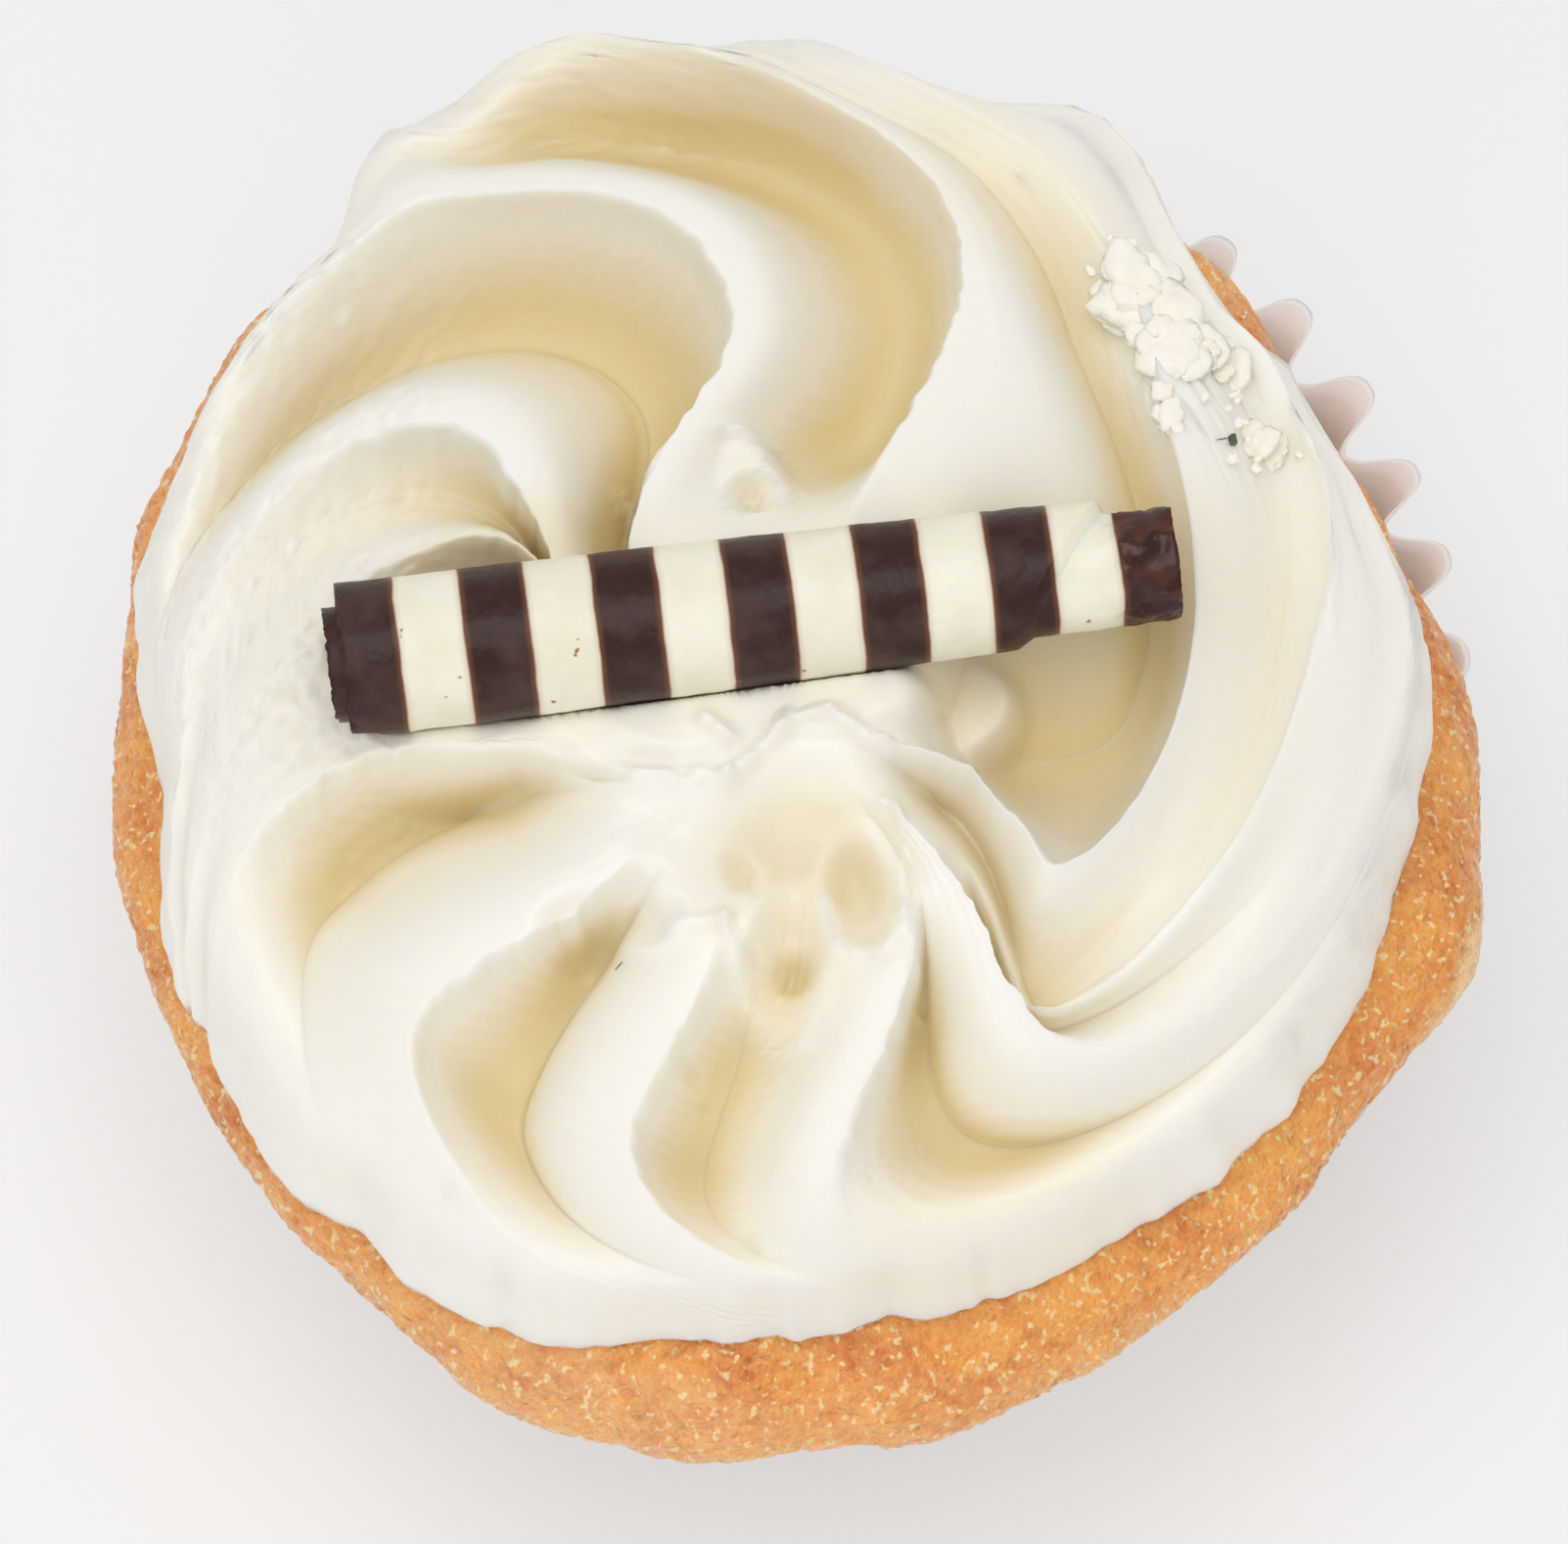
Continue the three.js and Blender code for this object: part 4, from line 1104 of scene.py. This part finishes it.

# %% [markdown]
# Light that enters buttercream comes out warmer, and the more so the deeper the valley.
# A renderer's scattering gives part of this. The rest is painted shade, worked out from
# the shape: how far a point lies under the swirl's dome, and how far under the average
# of the cream just round it. The cream beside the roll, where the roll shades it, and a
# few broad hollows and walls, each a named oval, get more painted shade. All of it goes
# to the material as one number for each point.

# %% Icing: painted shade from how deep each point lies
MAP_CELL = 0.6                # mm
MAP_CELLS = 140
HOLLOW_REACH = 4              # cells on each side that the average takes in
DOME_DEPTH = 10               # depths in mm that count as full
HOLLOW_DEPTH = 2.6
DOME_EASE = 0.9               # below 1, the shallow depths count a little more
DOME_SHARE = 0.75             # what each depth adds to the painted shade at its full
HOLLOW_SHARE = 0.5
ROUGH_PALE = 0.30             # how much less painted shade the rough left side gets in its hollows
ROLL_SPAN = ((-23.0, -3.6), (16.5, 1.4))   # just short of the roll's ends, on the plan
ROLL_SHADE = 0.30             # painted shade: how much warmer the cream gets where it meets the roll
ROLL_SHADE_WIDTH = 2.2
SHADE_EDGE = (0.5, 1.2)       # oval distances between which a shade fades
# Ovals of painted shade, each with the share that it adds.
Shade = namedtuple("Shade", "x y length width heading share")
SHADES = [
    Shade(-0.6, -14.5, 5.6, 6.8, 0, 0.32),    # painted shade where the nozzle was lifted off
    Shade(-6.5, 29.0, 14.0, 4.6, -7, 0.34),   # painted shade on the broad far wall, turned from the light
    Shade(10.5, 22.5, 9.0, 4.2, -50, 0.36),   # painted shade on the flank that runs down to the torn cream
    Shade(9.0, -28.5, 9.0, 3.6, 14, 0.24),    # painted shade in the hollow by the near rim
    Shade(-15.5, 3.2, 6.5, 2.6, 15, 0.40),    # painted shade in the hollow behind the roll's left end
]


def average_round(grid, reach):
    """Each cell's average over a square of cells round it, taken twice."""
    steps = range(-reach, reach + 1)
    for axis in (0, 1, 0, 1):
        grid = sum(np.roll(grid, step, axis) for step in steps) / len(steps)
    return grid


def height_round(points):
    """Average height of the skin round each point."""
    cells = np.round(points[..., :2] / MAP_CELL).astype(int) + MAP_CELLS // 2
    cells = tuple(np.moveaxis(np.clip(cells, 0, MAP_CELLS - 1), -1, 0))
    total = np.zeros((MAP_CELLS, MAP_CELLS))
    count = np.zeros((MAP_CELLS, MAP_CELLS))
    np.add.at(total, cells, points[..., 2])
    np.add.at(count, cells, 1)
    filled = (count > 0).astype(float)
    mean = average_round(total / np.maximum(count, 1), HOLLOW_REACH)
    mean = mean / np.maximum(average_round(filled, HOLLOW_REACH), 0.05)
    return mean[cells]


down = np.clip((share - ICING_SIDE_START) / (1 - ICING_SIDE_START), 0, 1)[:, None]
outward = skin - (*SWIRL_MIDDLE, 0)
bearing = np.degrees(np.arctan2(outward[..., 1], outward[..., 0]))
dome = ICING_SEAT_Z + crest_height(share[:, None], bearing) * np.sqrt(1 - down ** 2)
depth = np.clip((dome - skin[..., 2]) / DOME_DEPTH, 0, 1)
hollow = np.clip((height_round(skin) - skin[..., 2]) / HOLLOW_DEPTH, 0, 1) * on_top
roll_away = np.clip(line_distance(skin, *ROLL_SPAN) - ROLL_RADIUS_THICK, 0, None)
beside_roll = bell(roll_away, ROLL_SHADE_WIDTH) * on_top
# Painted shade: depth under the dome, the hollows and the roll's side, then the named ovals.
painted_shade = DOME_SHARE * depth ** DOME_EASE + HOLLOW_SHARE * hollow + ROLL_SHADE * beside_roll
painted_shade = painted_shade * (1 - ROUGH_PALE * rough_left)
for shade in SHADES:
    painted_shade += shade.share * (1 - smooth(*SHADE_EDGE, oval_distance(skin, shade)))
painted_shade = np.clip(painted_shade, 0, 1)
below = np.zeros(1 + len(under) * columns)   # the underside and its first point
store(icing, "painted_shade", np.concatenate([below, painted_shade[::-1].ravel(), [0]]))
print("deepest valley:", round(float((dome - skin[..., 2]).max()), 1), "mm under the dome")

# %% Icing: finish
CREAM = (0.950, 0.915, 0.842, 1)
CREAM_PALE = (0.960, 0.930, 0.868, 1)
# Painted shade, laid over the cream in the hollows and beside the roll:
CREAM_PAINTED_SHADE = (0.918, 0.856, 0.712, 1)
CREAM_PAINTED_DEEP_SHADE = (0.81, 0.69, 0.42, 1)

cream, tree, shader = new_material(
    "buttercream", Roughness=0.40, Subsurface_Weight=0.50, Subsurface_Scale=0.0012,
    Subsurface_Radius=(1.0, 0.72, 0.42), Specular_IOR_Level=0.4)
# The painted shade stored for each point lays a warmer and then a deeper cream over the hollows.
painted_shade_share = attribute(tree, "painted_shade")
paint(tree, shader, CREAM, [
    (patchy(tree, 0.009, 0.35, 0.65), CREAM_PALE),
    (remap(tree, painted_shade_share, 0.0, 0.5), CREAM_PAINTED_SHADE),
    (remap(tree, painted_shade_share, 0.4, 1.0), CREAM_PAINTED_DEEP_SHADE),
])
add_grain(tree, shader, 0.0005, 0.2, 0.00003)
place_piece(icing, "icing", cream)

# %% [markdown]
# ### Torn clumps, fleck and fibre
# Where something caught the far right side, the cream tore into curds. Relief on the
# skin alone would look molten, because its points can't fold under themselves, so the
# curds are separate soft lumps, half sunk in the skin, heaped along the tear. Scattering
# turns grey where many closed lumps cross, so they have a cream of their own without it.
# A fleck of vanilla pod and a fine fibre lie on the cream too.

# %% Torn clumps: shape
Heap = namedtuple("Heap", "start end spread count smallest largest")
HEAPS = [
    Heap((15.4, 19.6), (18.2, 13.0), 1.5, 26, 0.5, 1.5),
    Heap((18.8, 16.6), (21.0, 13.0), 0.9, 12, 0.4, 1.1),
    Heap((21.9, 10.8), (23.2, 9.4), 0.5, 8, 0.3, 0.9),
    Heap((17.3, 12.6), (17.8, 9.6), 0.3, 6, 0.35, 0.7),
    Heap((14.8, 20.2), (23.0, 8.8), 2.2, 44, 0.12, 0.32),
]
CURD_RINGS = 11
CURD_SIDES = 18
CURD_FLATNESS = 0.42
CURD_END = 0.12               # angle at its first ring, in radians from the end
CURD_ROUGHNESS = 0.38
CURD_SINKS = (-0.38, -0.14)   # how deep its middle lies, in radii
CURD_STRETCHES = (1.0, 1.5)
SMALLER_CURDS = 1.6           # above 1, more of them are small


def skin_height(x, y):
    """Height of the icing's upper skin at a place on the plan: the highest of the four
    nearest points."""
    away = np.hypot(skin[..., 0] - x, skin[..., 1] - y)
    nearest = np.argsort(away.ravel())[:4]
    return float(skin[..., 2].ravel()[nearest].max())


def curd(centre, radius, stretch, heading, seed):
    """Rings of a rough flat lump."""
    polar = np.linspace(CURD_END, math.pi - CURD_END, CURD_RINGS)[:, None]
    turn = np.linspace(0, 2 * math.pi, CURD_SIDES, endpoint=False)[None]
    out = np.sin(polar)
    unit = np.stack([out * np.cos(turn), out * np.sin(turn), -np.cos(polar) + 0 * turn], -1)
    rough = 1 + CURD_ROUGHNESS * soft_noise(unit, 0.8, 3, seed=20 + seed)
    local = unit * rough[..., None] * radius * np.array([stretch, 1, CURD_FLATNESS])
    c, s = math.cos(heading), math.sin(heading)
    x = local[..., 0] * c - local[..., 1] * s
    y = local[..., 0] * s + local[..., 1] * c
    return np.stack([x, y, local[..., 2]], -1) + centre


def joined_lumps(name, lumps):
    """One mesh of many closed lumps, each made of rings."""
    points, faces = [], []
    for rings in lumps:
        start = len(points)
        count = rings.shape[1]
        points += rings.reshape(-1, 3).tolist()
        for row in range(rings.shape[0] - 1):
            for i in range(count):
                low = start + row * count
                beside = (i + 1) % count
                faces.append((low + i, low + beside, low + count + beside, low + count + i))
        top = start + (rings.shape[0] - 1) * count
        faces.append(tuple(start + i for i in reversed(range(count))))
        faces.append(tuple(top + i for i in range(count)))
    return mesh_piece(name, points, faces)


chance = np.random.default_rng(41)
curds = []
for heap in HEAPS:
    run = np.array(heap.end) - np.array(heap.start)
    across = np.array([-run[1], run[0]]) / math.hypot(*run)
    for _ in range(heap.count):
        place = np.array(heap.start) + chance.random() * run
        x, y = place + chance.normal(0, 0.5) * heap.spread * across
        radius = lerp(heap.smallest, heap.largest, chance.random() ** SMALLER_CURDS)
        centre = np.array([x, y, skin_height(x, y) + radius * chance.uniform(*CURD_SINKS)])
        stretch = chance.uniform(*CURD_STRETCHES)
        curds.append(curd(centre, radius, stretch, chance.uniform(0, math.pi), len(curds)))
torn_curds = joined_lumps("torn_curds", curds)
print(len(curds), "curds")

# %% Torn clumps: finish
CURD_CREAM = (0.97, 0.92, 0.80, 1)
CURD_PALE = (0.985, 0.955, 0.87, 1)

torn_cream, tree, shader = new_material(
    "torn_buttercream", Roughness=0.42, Specular_IOR_Level=0.4)
paint(tree, shader, CURD_CREAM, [(patchy(tree, 0.0015, 0.35, 0.65), CURD_PALE)])
add_grain(tree, shader, 0.0004, 0.3, 0.00008)
place_piece(torn_curds, None, torn_cream)

# %% Fleck and fibre
FLECK_PLACE = (20.9, 9.7)
FLECK_RADIUS = 0.24
FLECK_LEG_PLACE = (20.4, 9.5)
FIBRE_PLACE = (-9.7, -17.8)
FIBRE_RADIUS = 0.035
POD_DARK = (0.05, 0.055, 0.03, 1)
POD_GREY = (0.16, 0.16, 0.09, 1)
LIFT = 0.6                    # how much of its flat height a fleck stands out by


def lying(place, radius, stretch, heading, seed):
    """A lump that lies on the skin."""
    height = skin_height(*place) + radius * CURD_FLATNESS * LIFT
    return curd(np.array([*place, height]), radius, stretch, math.radians(heading), seed)


flecks = joined_lumps("flecks", [
    lying(FLECK_PLACE, FLECK_RADIUS, 1.3, 100, 201),
    lying(FLECK_LEG_PLACE, FIBRE_RADIUS, 12, 10, 202),
    lying(FIBRE_PLACE, FIBRE_RADIUS, 8, 50, 203),
])
pod, tree, shader = new_material("vanilla_pod", Roughness=0.6)
paint(tree, shader, POD_DARK, [(patchy(tree, 0.0002, 0.4, 0.6), POD_GREY)])
place_piece(flecks, None, pod)

# %% [markdown]
# ## Chocolate roll
# A thin sheet of dark and white chocolate stripes, rolled up while it was still warm.
# A striped cylinder would look solid, so the real sheet is made: it winds inward for
# just over two turns with a small step at its outer edge. The outer wrap was cut on a
# slant, so the narrower turn inside shows past it at one end, and at the other the
# broken edge is ragged.

# %% Chocolate roll: shape
SHEET = 0.5                   # thickness of the chocolate
SHEET_TURNS = 2.3
STEPS_PER_TURN = 72
STEPS_ALONG = 170
OUTER_EDGE = math.radians(302)    # where the sheet's outer edge lies, seen along the roll
LEFT_STEP = 0.034             # how far the outer wrap's broken edge is set in, low down
SHEET_ENDS = (0.004, 0.998)   # shares of the length at which the sheet begins and ends
LEFT_SET_IN = 0.018           # how far the outer wrap's broken edge is set in all round
LOW_SIDE = 20                 # degrees round from the near side, where it is set in most
LOW_SIDE_WIDTH = 50
LEFT_RAGGED = 0.012
RIGHT_RAGGED = 0.003
EDGE_BLEND = 0.35             # radians round the outer edge that the change of wrap takes
SPIRAL_PULL = 0.12            # how far a turn winds inward, in mm
CORE_TURNS = (0.86, 1.06)     # turns between which the sheet steps in to the core
TURN_GAP = 0.08               # air between the turns inside the core
DENT_HEIGHT = 0.05
DENT_SUNK = 0.6               # how far the dented skin lies in, in dents
CORE_FROM = (0.90, 0.93)      # shares of the length between which the bare core begins
CORE_DENTS = 0.30
CORE_SUNK = 0.4               # how far the crumpled core lies in, in its own dents


def roll_point(along, angle, radius):
    """A point of the roll, with the angle counted from straight down, by the far side."""
    place = np.array(ROLL_CENTRE) + (along[..., None] - 0.5) * ROLL_LENGTH * ROLL_ALONG
    place = place + (radius * np.sin(angle))[..., None] * ROLL_ACROSS
    place[..., 2] -= radius * np.cos(angle)
    return place


def sheet_limits(wound):
    """First and last share of the length that the sheet covers, wound so far inward."""
    angle = OUTER_EDGE - wound
    outer = 1 - smooth(2 * math.pi - EDGE_BLEND, 2 * math.pi + EDGE_BLEND, wound)
    slant = ROLL_WRAP_END + ROLL_WRAP_SLANT * np.sin(angle)
    edge = np.column_stack([np.cos(wound), np.sin(wound), wound / 9])
    ragged = RIGHT_RAGGED * np.abs(soft_noise(edge, 0.35, 3, seed=12))
    last = lerp(SHEET_ENDS[1], slant, outer) - ragged
    low_side = bell(np.degrees(angle + math.pi / 2) % 360 - LOW_SIDE, LOW_SIDE_WIDTH)
    ragged = LEFT_RAGGED * np.abs(soft_noise(edge, 0.25, 3, seed=13))
    first = SHEET_ENDS[0] + outer * (LEFT_SET_IN + LEFT_STEP * low_side) + ragged
    return first, last


def sheet_radius(wound, along):
    """Radius of the sheet's outer face."""
    turns = wound / (2 * math.pi)
    outer = wrap_radius(along)
    inner = np.minimum(ROLL_CORE_RADIUS, outer - SHEET)
    radius = lerp(outer - SPIRAL_PULL * turns, inner, smooth(*CORE_TURNS, turns))
    inside = turns - CORE_TURNS[1]
    return np.where(inside > 0, inner - inside * (SHEET + TURN_GAP), radius)


def make_roll():
    wound = np.linspace(0, SHEET_TURNS * 2 * math.pi, round(SHEET_TURNS * STEPS_PER_TURN))
    first, last = sheet_limits(wound)
    even = np.linspace(0, 1, STEPS_ALONG)
    along = first + (last - first) * even[:, None]
    angle = np.broadcast_to(OUTER_EDGE - wound, along.shape)
    radius = sheet_radius(wound[None], along)
    outer_face = roll_point(along, angle, radius)
    broad = soft_noise(outer_face, 2.2, 2, seed=14)
    small = soft_noise(outer_face, 0.6, 2, seed=15)
    crumpled = soft_noise(outer_face, 1.0, 2, seed=18)
    dents = DENT_HEIGHT * (broad + 0.5 * small - DENT_SUNK)
    dents = dents + CORE_DENTS * smooth(*CORE_FROM, along) * (crumpled - CORE_SUNK)
    outer_face = roll_point(along, angle, radius + dents)
    inner_face = roll_point(along, angle, radius - SHEET)
    loop = np.concatenate([outer_face, inner_face[:, ::-1]], 1)
    roll = ring_body("striped_roll", loop[0].mean(0), loop, loop[-1].mean(0))
    shares = np.concatenate([along, along[:, ::-1]], 1)
    ends = ([shares[0].mean()], [shares[-1].mean()])
    store(roll, "along", np.concatenate([ends[0], shares.ravel(), ends[1]]))
    return roll


roll = make_roll()

# %% [markdown]
# The sheet was poured as straight stripes, so they ring the roll. Cutting the mesh along
# them would need far more points, so each point stores its share of the length instead,
# and the sine of the count of stripes tells dark from white. A brown edge is left where
# the two met while warm, dark chocolate has a greyish bloom, and the bare core is rubbed.

# %% Chocolate roll: stripes
STRIPE_FIRST = 0.0895         # shares of the length: the first edge between two stripes
STRIPE_PITCH = 0.0763         # and the width of a stripe
FIRST_STRIPE = -0.9           # the first stripe, a dark one, runs on to the broken end
STRIPE_WOBBLE = 0.02          # how far a stripe's edge wanders, in stripes
STRIPE_EDGE = (-0.05, 0.07)   # values of the sine between which dark turns to white
BROWN_EDGE = (0.32, 0.05)     # and between which the brown edge builds up
chocolate, tree, shader = new_material(
    "striped_chocolate", Roughness=0.4, Subsurface_Weight=0.12, Subsurface_Scale=0.0008,
    Specular_IOR_Level=0.25)
along_share = attribute(tree, "along")
wobble = noise_node(tree, place_points(tree), 400, 2.0)
counted = maths(tree, "SUBTRACT", along_share, STRIPE_FIRST)
counted = maths(tree, "MAXIMUM", maths(tree, "DIVIDE", counted, STRIPE_PITCH), FIRST_STRIPE)
counted = maths(tree, "ADD", counted, remap(tree, wobble, 0.2, 0.8, -STRIPE_WOBBLE, STRIPE_WOBBLE))
swing = maths(tree, "SINE", times(tree, counted, math.pi))
white_mask = remap(tree, swing, *STRIPE_EDGE)
edge_mask = remap(tree, maths(tree, "ABSOLUTE", swing), *BROWN_EDGE)
print("stripes are", round(STRIPE_PITCH * ROLL_LENGTH, 1), "mm wide")

# %% Chocolate roll: finish
DARK = (0.036, 0.012, 0.009, 1)
DARK_BLOOM = (0.078, 0.041, 0.034, 1)
DARK_EDGE = (0.24, 0.078, 0.034, 1)
DARK_RUBBED = (0.085, 0.026, 0.014, 1)
IVORY = (0.85, 0.805, 0.645, 1)
IVORY_PALE = (0.91, 0.875, 0.745, 1)
IVORY_EDGE = (0.55, 0.36, 0.24, 1)
IVORY_CRUMB = (0.42, 0.18, 0.07, 1)
BLOOM_MATT = (0.36, 0.60)     # roughness without bloom and with it
CORE_GLOSS = 0.16             # how much less rough the rubbed core is

bloom = patchy(tree, 0.0022, 0.45, 0.75)
core = remap(tree, along_share, *CORE_FROM)
dark_colour = lay_over(tree, DARK, [
    (bloom, DARK_BLOOM),
    (times(tree, edge_mask, 0.6), DARK_EDGE),
    (times(tree, patchy(tree, 0.0016, 0.50, 0.60), core), DARK_RUBBED),
])
white_colour = lay_over(tree, IVORY, [
    (patchy(tree, 0.003, 0.35, 0.65), IVORY_PALE),
    (times(tree, edge_mask, 0.35), IVORY_EDGE),
    (patchy(tree, 0.0008, 0.72, 0.76), IVORY_CRUMB),
])
paint(tree, shader, dark_colour, [(white_mask, white_colour)])
matt = remap(tree, bloom, 0, 1, *BLOOM_MATT)
feed(tree, shader.inputs["Roughness"], maths(tree, "SUBTRACT", matt, times(tree, core, CORE_GLOSS)))
add_grain(tree, shader, 0.0004, 0.3, 0.00004)
place_piece(roll, "chocolate_roll", chocolate)
